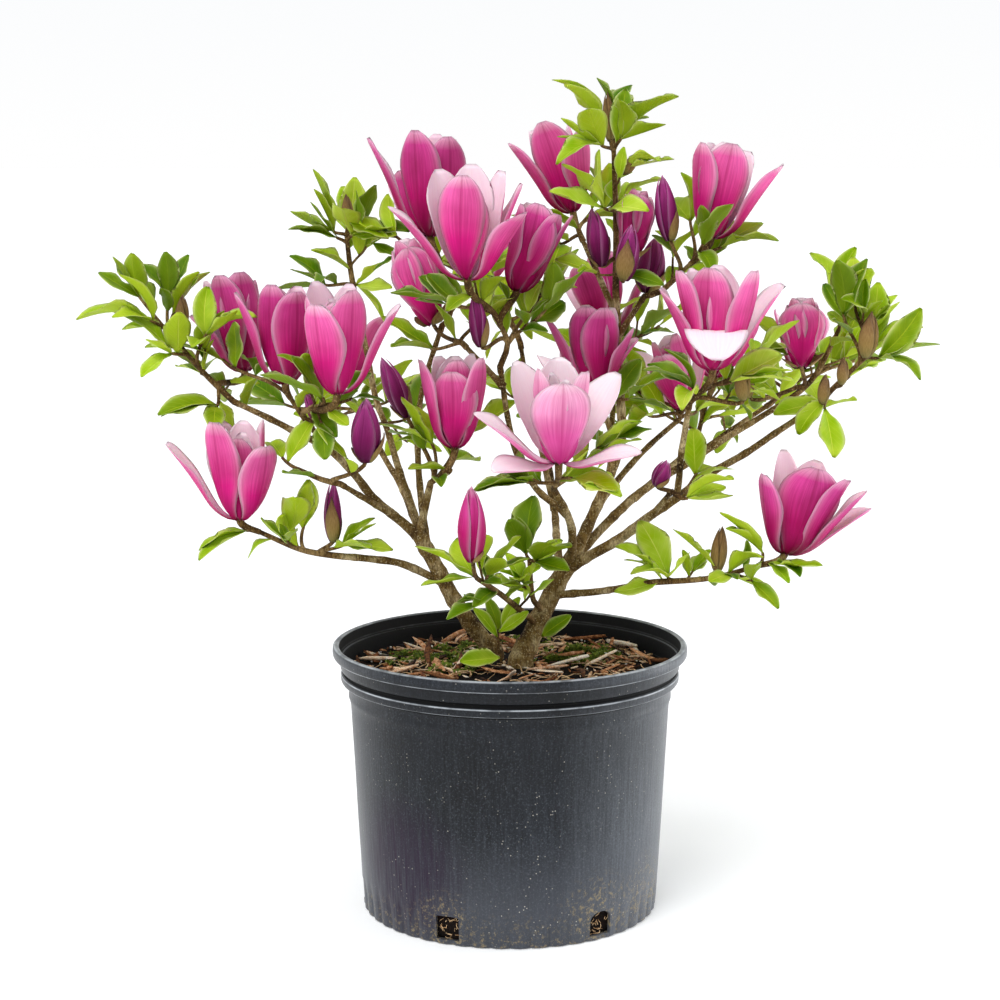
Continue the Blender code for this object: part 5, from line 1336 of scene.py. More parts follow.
def pot_inside():
    """The inner side from the middle of the floor up to the lip."""
    return [
        (0.012, WALL), (0.06, WALL),
        (FOOT_RADIUS - WALL - 0.002, WALL), (FOOT_RADIUS - WALL, WALL + 0.002),
        (SHOULDER_RADIUS - WALL, 0.1800), (BAND_RADIUS - WALL, 0.1830), (BAND_RADIUS - WALL, 0.1985),
        (BAND_RADIUS - WALL + 0.0006, 0.2008), (RIM_INNER - 0.0006, 0.2026), (RIM_INNER, 0.2040),
    ]


def pot_ring(radius, height):
    """One ring of the pot's wall, fluted where it is the outside of the foot."""
    outer = radius > FOOT_RADIUS - 0.0025 and height < FLUTE_TOP
    fade = max(0.0, 1.0 - (height / FLUTE_TOP) ** 3) if outer else 0.0
    for step in range(POT_STEPS):
        angle = FULL_TURN * step / POT_STEPS
        flute = abs(math.sin(FLUTES / 2 * angle)) ** 0.8
        reach = radius - FLUTE_DEPTH * fade * (1.0 - flute)
        reach += DENTS * noise.noise(Vector((angle * DENT_SCALE[0], height * DENT_SCALE[1], 0.0)))
        yield round_point(reach, angle, height)


def build_pot(material):
    profile = pot_inside() + pot_rim() + pot_body()
    points = [point for radius, height in profile for point in pot_ring(radius, height)]
    faces = grid_faces(len(profile), POT_STEPS, closed=True).tolist()
    faces.append(list(range(POT_STEPS)))
    faces.append(list(reversed(range(len(points) - POT_STEPS, len(points)))))
    pot = closed_object("nursery_pot", points, faces)
    cut_holes(pot)
    pot.data.shade_smooth()
    pot.data.set_sharp_from_angle(angle=SHARP_EDGE)
    pot.data.materials.clear()
    pot.data.materials.append(material)
    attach(pot, "root")
    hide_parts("pot")


def hole_outline(rounded, side_power, top_power):
    """A drainage hole seen from outside: square with soft corners, or with an arched top."""
    half = HOLE_WIDTH / 2
    outline = [(-half, HOLE_LOW), (half, HOLE_LOW)]
    for step in range(HOLE_STEPS + 1):
        angle = math.pi * step / HOLE_STEPS
        across = math.copysign(abs(math.cos(angle)) ** side_power, math.cos(angle))
        outline.append((half * across, HOLE_HIGH - rounded + rounded * math.sin(angle) ** top_power))
    return outline


def hole_cutter(index):
    """A block in the shape of one drain hole that passes through the wall."""
    outline = hole_outline(*(ARCHED_HOLE if index % 2 == 1 else SQUARE_HOLE))
    count = len(outline)
    points = [(across, depth, height)
              for depth in (-CUTTER_REACH, CUTTER_REACH) for across, height in outline]
    faces = [list(range(count)), list(reversed(range(count, 2 * count)))]
    faces += [(step, (step + 1) % count, count + (step + 1) % count, count + step) for step in range(count)]
    cutter = closed_object("hole_cutter", points, faces)
    angle = FIRST_HOLE + FULL_TURN * index / HOLE_COUNT
    cutter.rotation_euler = (0.0, 0.0, angle)
    cutter.location = round_point(FOOT_RADIUS, angle, 0.0)
    return cutter


def cut_holes(pot):
    cutters = bpy.data.collections.new("hole_cutters")
    bpy.context.scene.collection.children.link(cutters)
    for index in range(HOLE_COUNT):
        cutters.objects.link(hole_cutter(index))
    modifier = pot.modifiers.new("holes", "BOOLEAN")
    modifier.operation = "DIFFERENCE"
    modifier.operand_type = "COLLECTION"
    modifier.collection = cutters
    modifier.solver = "MANIFOLD"
    bpy.context.view_layer.update()
    graph = bpy.context.evaluated_depsgraph_get()
    mesh = bpy.data.meshes.new_from_object(pot.evaluated_get(graph))
    pot.modifiers.clear()
    pot.data = mesh
    for cutter in list(cutters.objects):
        bpy.data.objects.remove(cutter, do_unlink=True)
    bpy.data.collections.remove(cutters)


# Potting mix

# How far its surface reaches, and where its slope meets the wall
MIX_RADIUS = 0.1303
MIX_REACH = 0.1305
MIX_STEPS = 260
MIX_RINGS = 92
# The level middle, as a share of the reach, and how far the surface lies below the solid's
MIX_LEVEL = 0.30
MIX_SUNK = 0.0012
# Lumps of the surface: their height, and how many there are to a metre
LUMPS = ((0.0022, 55), (0.0011, 160), (0.0006, 420))
# Lumps are lower near the middle: where they start to grow, and the least share that is left
CALM_RADIUS = 0.02
CALM_LEAST = 0.15
# The side of the plug: how clear it is of the wall, its top, and the heights of its rings
MIX_CLEAR = 0.0006
MIX_SIDE_TOP = 0.1795
MIX_SIDE = (0.12, 0.06, 0.035, 0.030, 0.026, 0.022, 0.018, 0.014, 0.010, 0.007, 0.0046)
ROUGH_BELOW = 0.05


def mix_height(x, y):
    """The surface of the mix: low at the wall, a little higher round the trunks, and lumpy."""
    radius = math.hypot(x, y)
    share = min(1.0, radius / MIX_REACH)
    height = MIX_TOP + (MIX_EDGE - MIX_TOP) * max(0.0, (share - MIX_LEVEL) / (1.0 - MIX_LEVEL))
    spot = Vector((x, y, 0.0))
    lumps = sum(size * noise.noise(spot * scale) for size, scale in LUMPS)
    calm = min(1.0, max(CALM_LEAST, (radius - CALM_RADIUS) / CALM_RADIUS))
    return height + lumps * calm - MIX_SUNK


def mix_side(radius, height):
    """One ring of the plug's side, rough where the drain holes show it."""
    for step in range(MIX_STEPS):
        angle = FULL_TURN * step / MIX_STEPS
        rough = 0.0009 * noise.noise(Vector((angle * 30, height * 500, 3.0))) if height < ROUGH_BELOW else 0.0
        yield round_point(radius - MIX_CLEAR + rough, angle, height)


def build_mix(material):
    points = [(0.0, 0.0, mix_height(0.0, 0.0))]
    for ring in range(1, MIX_RINGS + 1):
        for step in range(MIX_STEPS):
            x, y, _ = round_point(MIX_RADIUS * ring / MIX_RINGS, FULL_TURN * step / MIX_STEPS, 0.0)
            points.append((x, y, mix_height(x, y)))
    side = [(MIX_RADIUS, 0.1845), (SHOULDER_RADIUS - WALL - MIX_CLEAR, MIX_SIDE_TOP)]
    foot = FOOT_RADIUS - WALL - MIX_CLEAR
    side += [(foot + (SHOULDER_RADIUS - FOOT_RADIUS) * height / MIX_SIDE_TOP, height) for height in MIX_SIDE]
    points += [point for radius, height in side for point in mix_side(radius, height)]
    faces = [(0, 1 + step, 1 + (step + 1) % MIX_STEPS) for step in range(MIX_STEPS)]
    faces += (grid_faces(MIX_RINGS + len(side), MIX_STEPS, closed=True) + 1).tolist()
    faces.append(list(range(len(points) - MIX_STEPS, len(points))))
    mix = closed_object("mix_surface", points, faces)
    mix.data.shade_smooth()
    mix.data.materials.append(material)
    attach(mix, "root")
    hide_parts("potting_mix")


def near_trunk(x, y, room):
    return any(math.hypot(x - foot[0], y - foot[1]) < room for foot in FEET.values())


def scattered(draw, limit, turn=FULL_TURN):
    """A random place on the mix, spread evenly within this radius."""
    radius = limit * math.sqrt(draw.random())
    around = draw.uniform(0, turn)
    return radius * math.cos(around), radius * math.sin(around)


# Bark chips

CHIP_ROWS = 5
# The corners of a chip's section, in degrees
CHIP_CORNERS = (8, 62, 122, 172, 236, 304)
# How far out chips lie, and how clear of the trunks
CHIP_LIMIT = 0.1285
CHIP_ROOM = 0.009
WIDEST_CHIP = 0.009
THINNEST_CHIP = 0.0010
# How often each of the four shades comes
CHIP_SHADES = (0, 0, 1, 1, 1, 2, 2, 3, 3, 3)
CHIP_SIZES = (
    # count, shortest, longest, slimmest, widest to length
    (620, 0.0030, 0.008, 0.25, 0.60),
    (230, 0.008, 0.018, 0.14, 0.34),
    (56, 0.018, 0.036, 0.10, 0.22),
)
PLACED_LIFT = 0.0026
PLACED_CHIPS = (
    # x, y, length, width, turn and tilt in degrees, shade
    (0.064, 0.098, 0.034, 0.0080, -14, 8, 1),
    (0.092, 0.072, 0.040, 0.0095, -62, 6, 2),
    (0.046, -0.018, 0.036, 0.0070, 24, 8, 2),
    (0.030, -0.034, 0.030, 0.0060, 6, 4, 0),
    (0.072, 0.000, 0.032, 0.0065, 42, 12, 2),
    (0.082, 0.010, 0.028, 0.0050, 58, 4, 0),
    (0.100, 0.020, 0.024, 0.0045, -70, 14, 2),
    (-0.108, 0.020, 0.026, 0.0075, -12, 4, 2),
    (-0.092, -0.022, 0.022, 0.0055, -34, 6, 0),
    (-0.046, 0.090, 0.024, 0.0090, 20, 24, 0),
    (-0.040, -0.020, 0.022, 0.0040, 62, 22, 2),
    (-0.037, -0.018, 0.024, 0.0035, -52, 16, 0),
    (-0.070, -0.044, 0.028, 0.0050, 10, 4, 1),
    (-0.020, 0.100, 0.026, 0.0060, 8, 6, 0),
)

Chip = namedtuple("Chip", "x y length width thick turn tilt roll lift")


def chip_axes(chip):
    tilt, turn, roll = chip.tilt, chip.turn, chip.roll
    forward = Vector((math.cos(turn) * math.cos(tilt), math.sin(turn) * math.cos(tilt), math.sin(tilt)))
    return turn_frame(forward, Vector((math.sin(roll) * 0.5, math.cos(roll) * 0.5, 1.0)))


def add_chip(batch, chip, seed):
    """A splinter of bark: an angular slab with a ridged back and torn ends."""
    draw = random.Random(seed)
    columns = len(CHIP_CORNERS)
    last = CHIP_ROWS - 1
    side, forward, up = chip_axes(chip)
    height = mix_height(chip.x, chip.y) + chip.thick * 0.35 + chip.lift
    middle = Vector((chip.x, chip.y, height + abs(math.sin(chip.tilt)) * chip.length * 0.35))
    corners = [math.radians(degrees + draw.uniform(-14, 14)) for degrees in CHIP_CORNERS]
    narrow = {0: draw.uniform(0.15, 0.6), last: draw.uniform(0.15, 0.6)}
    bend = draw.uniform(-0.10, 0.10) * chip.length
    spots = np.empty((CHIP_ROWS * columns, 3))
    for row in range(CHIP_ROWS):
        share = row / last
        girth = draw.uniform(0.78, 1.08)
        girth = narrow.get(row, girth)
        tear = 0.09 if row in narrow else 0.03
        for column, angle in enumerate(corners):
            long = (share - 0.5 + draw.uniform(-tear, tear)) * chip.length
            wide = math.cos(angle) * chip.width / 2 * girth + bend * math.sin(math.pi * share)
            high = math.sin(angle) * chip.thick / 2 * (0.4 + 0.6 * girth) * draw.uniform(0.75, 1.25)
            spots[row * columns + column] = middle + forward * long + side * wide + up * high
    faces = grid_faces(CHIP_ROWS, columns, closed=True)
    caps = []
    for ring in (list(range(columns))[::-1], list(range(last * columns, CHIP_ROWS * columns))):
        caps += [(ring[0], ring[1], ring[2], ring[5]), (ring[2], ring[3], ring[4], ring[5])]
    batch.add(spots, np.concatenate([faces, np.array(caps)]), (draw.random(), draw.random(), 0.0))


def random_chip(draw, level, shortest, longest, slimmest, widest):
    """A chip of this size somewhere on the mix, and its shade."""
    x, y = scattered(draw, CHIP_LIMIT - 0.002)
    length = draw.uniform(shortest, longest)
    width = min(WIDEST_CHIP, length * draw.uniform(slimmest, widest))
    thick = max(THINNEST_CHIP, width * draw.uniform(0.30, 0.60))
    length = min(length, max(0.005, (CHIP_LIMIT - math.hypot(x, y)) * 2))
    tilt = draw.gauss(0.0, 0.20)
    turn = draw.uniform(0, FULL_TURN)
    shade = draw.choice(CHIP_SHADES)
    roll = draw.uniform(0, RANDOM_TURN)
    lift = draw.uniform(0.0, 0.0010) + 0.0008 * level
    return Chip(x, y, length, width, thick, turn, tilt, roll, lift), shade


def build_chips(materials):
    draw = random.Random(5)
    batches = [Batch() for _ in materials]
    number = 0
    for level, (count, *sizes) in enumerate(CHIP_SIZES):
        for _ in range(count):
            number += 1
            chip, shade = random_chip(draw, level, *sizes)
            if not near_trunk(chip.x, chip.y, CHIP_ROOM + chip.length / 2):
                add_chip(batches[shade], chip, number)
    for x, y, length, width, turn, tilt, shade in PLACED_CHIPS:
        number += 1
        turn, tilt = math.radians(turn), math.radians(tilt)
        chip = Chip(x, y, length, width, width * 0.45, turn, tilt, 0.0, PLACED_LIFT)
        add_chip(batches[shade], chip, number)
    for index, (batch, material) in enumerate(zip(batches, materials)):
        piece = batch.build(f"bark_chips_{index}", material, smooth=False)


# Roots

ROOT_COUNT = 150
ROOT_LIMIT = 0.118
ROOT_EDGE = 0.124
ROOT_ROOM = 0.012
ROOT_STEPS = 8
ROOT_STEP = 0.0035
ROOT_LIFT = 0.0022
ROOT_SIDES = 5
HOLE_ROOTS = 16
HOLE_ROOT_STEPS = 7
HOLE_ROOT_STEP = 0.0022


def surface_root(draw):
    """The path of a root that wanders over the mix, none if it starts in a trunk."""
    x, y = scattered(draw, ROOT_LIMIT)
    if near_trunk(x, y, ROOT_ROOM):
        return []
    way = draw.uniform(0, FULL_TURN)
    points = []
    for step in range(ROOT_STEPS + 1):
        if math.hypot(x, y) > ROOT_EDGE:
            break
        lift = ROOT_LIFT + ROOT_LIFT * math.sin(step / ROOT_STEPS * math.pi) * draw.random()
        points.append(Vector((x, y, mix_height(x, y) + lift)))
        way += draw.gauss(0.0, 0.42)
        x += math.cos(way) * ROOT_STEP
        y += math.sin(way) * ROOT_STEP
    return points


def hole_root(draw, middle, index):
    """The path of a root that shows in the drain hole at this angle."""
    angle = middle + draw.uniform(-0.09, 0.09)
    height = draw.uniform(HOLE_LOW + 0.001, HOLE_HIGH)
    way = draw.uniform(0, RANDOM_TURN)
    points = []
    for step in range(HOLE_ROOT_STEPS):
        reach = FOOT_RADIUS - WALL - 0.0004 + 0.0010 * math.sin(step * 1.3 + index)
        low = min(HOLE_HIGH + 0.004, max(HOLE_LOW + 0.0008, height))
        points.append(Vector(round_point(reach, angle, low)))
        way += draw.gauss(0.0, 0.6)
        angle += math.cos(way) * HOLE_ROOT_STEP / FOOT_RADIUS
        height += math.sin(way) * HOLE_ROOT_STEP
    return points


def build_roots(material):
    """Fine curly roots and torn fibres that lie on the mix and show in the drain holes."""
    draw = random.Random(17)
    batch = Batch()
    for _ in range(ROOT_COUNT):
        points = surface_root(draw)
        if len(points) > 3:
            thick = draw.uniform(0.0003, 0.0008)
            add_tube(batch, points, tapered(points, thick, thick * 0.4), ROOT_SIDES)
    for hole in range(HOLE_COUNT):
        for index in range(HOLE_ROOTS):
            points = hole_root(draw, FIRST_HOLE + FULL_TURN * hole / HOLE_COUNT, index)
            thick = draw.uniform(0.0002, 0.00045)
            add_tube(batch, points, tapered(points, thick, thick * 0.5), ROOT_SIDES)
    roots = batch.build("root_fibers", material)


# Moss and grit

MOSS_PATCHES = (
    # x, y, reach, tufts
    (-0.062, 0.012, 0.026, 1500),
    (-0.044, -0.022, 0.018, 700),
    (-0.082, 0.030, 0.018, 500),
    (-0.040, 0.060, 0.018, 400),
    (0.060, 0.030, 0.026, 1500),
    (0.072, 0.058, 0.020, 700),
    (0.040, 0.004, 0.016, 500),
    (0.010, 0.085, 0.020, 260),
)
MOSS_LIMIT = 0.122
MOSS_ROOM = 0.010
MOSS_BLADES = 3
MOSS_SUNK = 0.0004
# Bare gaps in the moss: how many to a metre, the level they are read at, and how bare it is
MOSS_GAPS = 85.0
MOSS_LEVEL = 0.3
MOSS_BARE = 0.05
GRIT_COUNT = 150
GRIT_LIMIT = 0.124
GRIT_ROOM = 0.011


def moss_grows(x, y):
    if math.hypot(x, y) > MOSS_LIMIT or near_trunk(x, y, MOSS_ROOM):
        return False
    return noise.noise(Vector((x, y, MOSS_LEVEL)) * MOSS_GAPS) >= MOSS_BARE


def add_moss_blade(batch, base, size, draw):
    """One pointed blade that leans out from the tuft's foot."""
    angle = draw.uniform(0, RANDOM_TURN)
    out = Vector((math.cos(angle), math.sin(angle), 0.0))
    side = Vector((-out.y, out.x, 0.0)) * size * 0.28
    tip = base + out * size * draw.uniform(0.3, 0.9) + UP * (size * draw.uniform(0.6, 1.2))
    knee = base.lerp(tip, 0.55) + UP * (size * 0.25)
    spots = [base - side * 0.5, knee - side, tip, knee + side]
    batch.add([tuple(spot) for spot in spots], [(0, 1, 2, 3)], (draw.random(), draw.random(), 0.0))


def build_moss(material):
    draw = random.Random(23)
    batch = Batch()
    for middle_x, middle_y, reach, count in MOSS_PATCHES:
        for _ in range(count):
            x = middle_x + draw.gauss(0.0, reach * 0.45)
            y = middle_y + draw.gauss(0.0, reach * 0.40)
            if not moss_grows(x, y):
                continue
            base = Vector((x, y, mix_height(x, y) - MOSS_SUNK))
            size = draw.uniform(0.0028, 0.0058)
            for _ in range(MOSS_BLADES):
                add_moss_blade(batch, base, size, draw)
    moss = batch.build("moss", material)


def build_grit(material):
    """White perlite grains among the chips."""
    draw = random.Random(31)
    batch = Batch()
    for _ in range(GRIT_COUNT):
        x, y = scattered(draw, GRIT_LIMIT, RANDOM_TURN)
        if near_trunk(x, y, GRIT_ROOM):
            continue
        size = draw.uniform(0.0005, 0.0014)
        middle = Vector((x, y, mix_height(x, y) + size + draw.uniform(0.0, 0.0016)))
        work = bmesh.new()
        bmesh.ops.create_cube(work, size=1.0)
        spots = [tuple(middle + vert.co.normalized() * size * draw.uniform(0.7, 1.2)) for vert in work.verts]
        faces = [[vert.index for vert in face.verts] for face in work.faces]
        work.free()
        batch.add(spots, faces, (draw.random(), draw.random(), 0.0))
    grit = batch.build("perlite_grains", material)


# Materials. Colours are written as they look and turned into the numbers that a shader takes

def color(code):
    values = [int(code[index:index + 2], 16) / 255 for index in (0, 2, 4)]
    linear = [value / 12.92 if value <= 0.04045 else ((value + 0.055) / 1.055) ** 2.4 for value in values]
    return (*linear, 1.0)


class Shader:
    """A node material built step by step."""

    def __init__(self, name, roughness, specular=0.5):
        self.material = bpy.data.materials.new(name)
        self.material.use_nodes = True
        self.tree = self.material.node_tree
        self.out = self.tree.nodes["Principled BSDF"]
        self.set("Roughness", roughness)
        self.set("Metallic", 0.0)
        self.set("Specular IOR Level", specular)

    def set(self, name, value):
        self.feed(self.out.inputs[name], value)

    def feed(self, socket, value):
        """Gives a socket a number, a colour code, a row of numbers or another node's output."""
        if isinstance(value, str):
            socket.default_value = color(value)
        elif isinstance(value, (int, float, tuple)):
            socket.default_value = value
        else:
            self.tree.links.new(value, socket)

    def node(self, kind, inputs, **values):
        """A node with these inputs, by name or number, and these settings."""
        made = self.tree.nodes.new(kind)
        for name, value in values.items():
            setattr(made, name, value)
        for name, value in inputs.items():
            self.feed(made.inputs[name], value)
        return made

    def math(self, operation, first, second=0.0, clamp=False):
        inputs = {0: first, 1: second}
        return self.node("ShaderNodeMath", inputs, operation=operation, use_clamp=clamp).outputs[0]

    def times(self, first, second, clamp=False):
        return self.math("MULTIPLY", first, second, clamp)

    def plus(self, first, second):
        return self.math("ADD", first, second)

    def minus(self, first, second, clamp=False):
        return self.math("SUBTRACT", first, second, clamp)

    def power(self, first, second):
        return self.math("POWER", first, second)

    def larger(self, first, second):
        return self.math("MAXIMUM", first, second)

    def apart(self, value, middle):
        """How far the value is from the middle, either way."""
        return self.math("ABSOLUTE", self.minus(value, middle))

    def line(self, off, width):
        """1 on the line itself, and 0 from this far off it."""
        return self.minus(1.0, self.math("DIVIDE", off, width), clamp=True)

    def split(self, vector):
        outputs = self.node("ShaderNodeSeparateXYZ", {0: vector}).outputs
        return outputs[0], outputs[1], outputs[2]

    def place(self):
        """The place on the blade: along it, across it, and which face."""
        return self.split(self.node("ShaderNodeAttribute", {}, attribute_name="place").outputs["Vector"])

    def spot(self):
        """The point itself, in metres."""
        return self.node("ShaderNodeTexCoord", {}).outputs["Object"]

    def away(self, place):
        """How far the point is from this place, in metres."""
        made = self.node("ShaderNodeVectorMath", {0: self.spot(), 1: place}, operation="DISTANCE")
        return made.outputs["Value"]

    def noise(self, scale, detail=3.0, roughness=0.55, vector=None):
        """Cloudy noise, at this scale to a metre or to the unit of the vector."""
        vector = self.spot() if vector is None else vector
        inputs = {"Vector": vector, "Scale": scale, "Detail": detail, "Roughness": roughness}
        return self.node("ShaderNodeTexNoise", inputs).outputs[0]

    def stretched(self, x, y, z):
        return self.node("ShaderNodeMapping", {0: self.spot(), "Scale": (x, y, z)}).outputs[0]

    def streaks(self, v, across, u, lengthwise, side, detail):
        """Noise that runs lengthwise on a blade, other on each of its faces."""
        inputs = {0: self.times(v, across), 1: self.times(u, lengthwise), 2: side}
        joined = self.node("ShaderNodeCombineXYZ", inputs).outputs[0]
        return self.noise(1.0, detail, vector=joined)

    def dots(self, scale, inside, outside):
        """Round dots, one to a cell: 1 within the inner distance, and each cell's random colour."""
        made = self.node("ShaderNodeTexVoronoi", {"Vector": self.spot(), "Scale": scale})
        return self.ramp(made.outputs["Distance"], (inside, 1.0), (outside, 0.0)), made.outputs["Color"]

    def ramp(self, factor, *stops):
        """Each stop is a position with a brightness or a colour code."""
        made = self.node("ShaderNodeValToRGB", {0: factor})
        ramp = made.color_ramp
        while len(ramp.elements) < len(stops):
            ramp.elements.new(0.5)
        for element, (position, value) in zip(ramp.elements, stops):
            element.position = position
            element.color = color(value) if isinstance(value, str) else (value, value, value, 1.0)
        return made.outputs[0]

    def mix(self, factor, first, second):
        made = self.node("ShaderNodeMix", {}, data_type="RGBA", blend_type="MIX")
        for socket, value in zip((0, 6, 7), (factor, first, second)):
            self.feed(made.inputs[socket], value)
        return made.outputs[2]

    def layer(self, base, pattern, start, finish, shade):
        """Lays a colour over the base, as strongly as the two stops say for the pattern."""
        return self.mix(self.ramp(pattern, start, finish), base, shade)

    def tint(self, base, mask, strength, shade):
        """Lays a colour over the base where the mask is, at this strength."""
        return self.mix(self.times(mask, strength), base, shade)

    def bump(self, height, strength, distance):
        made = self.node("ShaderNodeBump", {"Strength": strength, "Distance": distance, "Height": height})
        self.set("Normal", made.outputs[0])

    def glow_through(self, weight, reach):
        """Light that passes into the blade, with its reach by colour."""
        self.set("Subsurface Weight", weight)
        self.set("Subsurface Radius", reach)
        self.set("Subsurface Scale", GLOW_DEPTH)


FLOOR_GLOW = 0.15
BLADE_SPECULAR = 0.09
GLOW_DEPTH = 0.003
# A leaf's veins: how many side veins, how much they slant, and the widths of midrib and veins
SIDE_VEINS = 8.0
VEIN_SLANT = 4.5
MIDRIB_WIDTH = 0.030
VEIN_WIDTH = 0.08
# A painted highlight along each leaf's rim, standing in for lit edges
LEAF_RIM_HIGHLIGHT = "EEF4A8"
# Each green: top, midrib and underside
LEAF_GREENS = (
    ("84A800", "D6E250", "A4B820"),
    ("668800", "B8C82C", "90A41C"),
    ("9EC000", "E0EC70", "B8CA34"),
    ("487000", "94AC1C", "748C18"),
    ("90B400", "DAE450", "AABE28"),
)
# Each tepal shade: foot, middle, tip and rim outside, then foot and blade inside
TEPAL_SHADES = (
    ("94004A", "DA1E84", "F46CB4", "FFDCEC", "E884BC", "FCE4ED"),
    ("7A0038", "BA0E6A", "DC4A9E", "FAC6DF", "DC70AE", "F9D8E5"),
    ("B0186A", "EA66AE", "FCB4D6", "FFE8F1", "F4A8CE", "FEEEF3"),
    ("4C0634", "7A1656", "A83A84", "DC90C2", "BC609E", "E8A4CE"),
)
ROSE, DEEP, PALE, BUD_SHADE = range(4)
# Each chip's dark, middle and light brown
CHIP_BROWNS = (
    ("74381A", "DC9C6C", "FFE4C4"),
    ("46200C", "A4683C", "ECB486"),
    ("A87C54", "FCDCB8", "FFF8EA"),
    ("140903", "3C2010", "80502C"),
)


def leaf_material(index, top, rib, under):
    """A fresh leaf: pale midrib and side veins, a painted highlight along the rim, and a duller face below.
    """
    shader = Shader(f"leaf_green_{index}", 0.42, BLADE_SPECULAR)
    u, v, side = shader.place()
    off = shader.apart(v, 0.5)
    midrib = shader.line(off, MIDRIB_WIDTH)
    slant = shader.minus(shader.times(u, SIDE_VEINS), shader.times(off, VEIN_SLANT))
    vein = shader.line(shader.apart(shader.math("FRACT", slant), 0.5), VEIN_WIDTH)
    rim_highlight = shader.power(shader.times(off, 2.0), 8.0)
    base = shader.layer(top, shader.noise(38.0, 2.0), (0.38, 0.0), (0.66, 0.42), rib)
    base = shader.tint(base, vein, 0.22, rib)
    # Painted highlight along the leaf's rim
    base = shader.tint(base, rim_highlight, 0.95, LEAF_RIM_HIGHLIGHT)
    base = shader.tint(base, midrib, 0.75, rib)
    base = shader.tint(base, side, 0.60, under)
    shader.set("Base Color", base)
    shader.bump(shader.minus(1.0, shader.larger(midrib, shader.times(vein, 0.5))), 0.45, 0.0007)
    shader.glow_through(0.08, (0.3, 0.6, 0.05))
    return shader.material


def tepal_material(index, foot, middle, tip, rim, inside_foot, inside):
    """Deep magenta outside with darker veins that run lengthwise, and pale within."""
    shader = Shader(f"tepal_shade_{index}", 0.48, BLADE_SPECULAR)
    u, v, side = shader.place()
    off = shader.times(shader.apart(v, 0.5), 2.0)
    streak = shader.streaks(v, 22.0, u, 1.3, side, 2.0)
    fine = shader.streaks(v, 80.0, u, 2.6, side, 2.0)
    vein = shader.ramp(streak, (0.40, 1.0), (0.58, 0.0))
    thin = shader.ramp(fine, (0.42, 1.0), (0.56, 0.0))
    lines = shader.plus(shader.times(vein, 0.20), shader.times(thin, 0.16))
    outside = shader.ramp(u, (0.04, foot), (0.42, middle), (0.86, tip), (1.0, rim))
    outside = shader.layer(outside, shader.noise(30.0, 2.0), (0.35, 0.35), (0.62, 0.0), foot)
    outside = shader.tint(outside, shader.power(off, 7.0), 0.72, rim)
    outside = shader.tint(outside, shader.line(off, 0.42), 0.30, foot)
    outside = shader.tint(outside, shader.line(off, 0.05), 0.35, foot)
    outside = shader.mix(lines, outside, foot)
    within = shader.ramp(u, (0.0, inside_foot), (0.35, inside), (1.0, inside))
    within = shader.tint(within, lines, 0.35, inside_foot)
    shader.set("Base Color", shader.mix(side, outside, within))
    shader.bump(shader.plus(streak, shader.times(fine, 0.6)), 0.30, 0.0012)
    shader.glow_through(0.10, (1.0, 0.25, 0.5))
    return shader.material


def bract_material():
    """Fuzzy olive and tan, with hairs that run lengthwise."""
    shader = Shader("bud_bract", 0.80)
    u, v, side = shader.place()
    hair = shader.streaks(v, 46.0, u, 7.0, side, 3.0)
    base = shader.ramp(u, (0.0, "6A6A26"), (0.30, "8A6E32"), (0.75, "76502C"), (1.0, "53301F"))
    shader.set("Base Color", shader.layer(base, hair, (0.40, 0.0), (0.65, 0.55), "AE8F58"))
    shader.bump(hair, 0.8, 0.0009)
    return shader.material


def bark_material(name, dark, middle, light, dots_strength):
    """Speckled bark with pale lenticels."""
    shader = Shader(name, 0.82, 0.2)
    fine = shader.noise(620.0, 4.0, 0.65)
    grain = shader.noise(1.0, 3.0, vector=shader.stretched(900.0, 900.0, 160.0))
    dots, _ = shader.dots(230.0, 0.10, 0.20)
    base = shader.ramp(shader.noise(60.0), (0.28, dark), (0.50, middle), (0.76, light))
    base = shader.layer(base, grain, (0.38, 0.65), (0.58, 0.0), dark)
    base = shader.layer(base, fine, (0.56, 0.0), (0.68, 0.75), light)
    shader.set("Base Color", shader.tint(base, dots, dots_strength, light))
    shader.bump(shader.plus(shader.plus(fine, grain), shader.times(dots, 0.7)), 0.8, 0.0009)
    return shader.material


# Heights from which the pot's inner wall and its lip are seen, in metres; there painted shade darkens them
INNER_FROM = 0.181
LIP_FROM = 0.2022
# Heights of the edges that carry a painted highlight, and how wide the painted line is
HIGHLIGHT_EDGES = (0.1890, 0.1830, 0.2032, 0.2116)
HIGHLIGHT_REACH = 0.0008
# Where water has left tan crust on the pot's foot: a place, and how far the crust reaches
CRUST_PLACES = (
    ((0.068, -0.095, 0.016), 0.044),
    ((0.106, -0.050, 0.020), 0.044),
    ((-0.050, -0.106, 0.012), 0.034),
)
# The middle of the purple cast on the pot's left
PURPLE_PLACE = (-0.088, -0.088, 0.052)
# How much the band and the ring stand in the rim's shade, by height
RIM_SHADE = ((0.09, 0.0), (0.15, 0.35), (0.186, 0.35), (0.1895, 0.62), (0.203, 0.62), (0.205, 0.20))
# The darkest black of the plastic's film, also the colour of the painted shade under the rim
BLACK_FILM_AND_SHADE = "060708"


def pot_film(shader, streak, cloud, grain):
    """Charcoal plastic with fine upright streaks and scuffed grain."""
    base = shader.ramp(cloud, (0.35, "14161A"), (0.70, "22262D"))
    base = shader.layer(base, streak, (0.50, 0.0), (0.74, 0.36), "40454C")
    base = shader.layer(base, streak, (0.28, 0.7), (0.44, 0.0), "08090B")
    base = shader.layer(base, grain, (0.54, 0.0), (0.70, 0.45), "5A6068")
    return shader.layer(base, grain, (0.32, 0.55), (0.46, 0.0), BLACK_FILM_AND_SHADE)


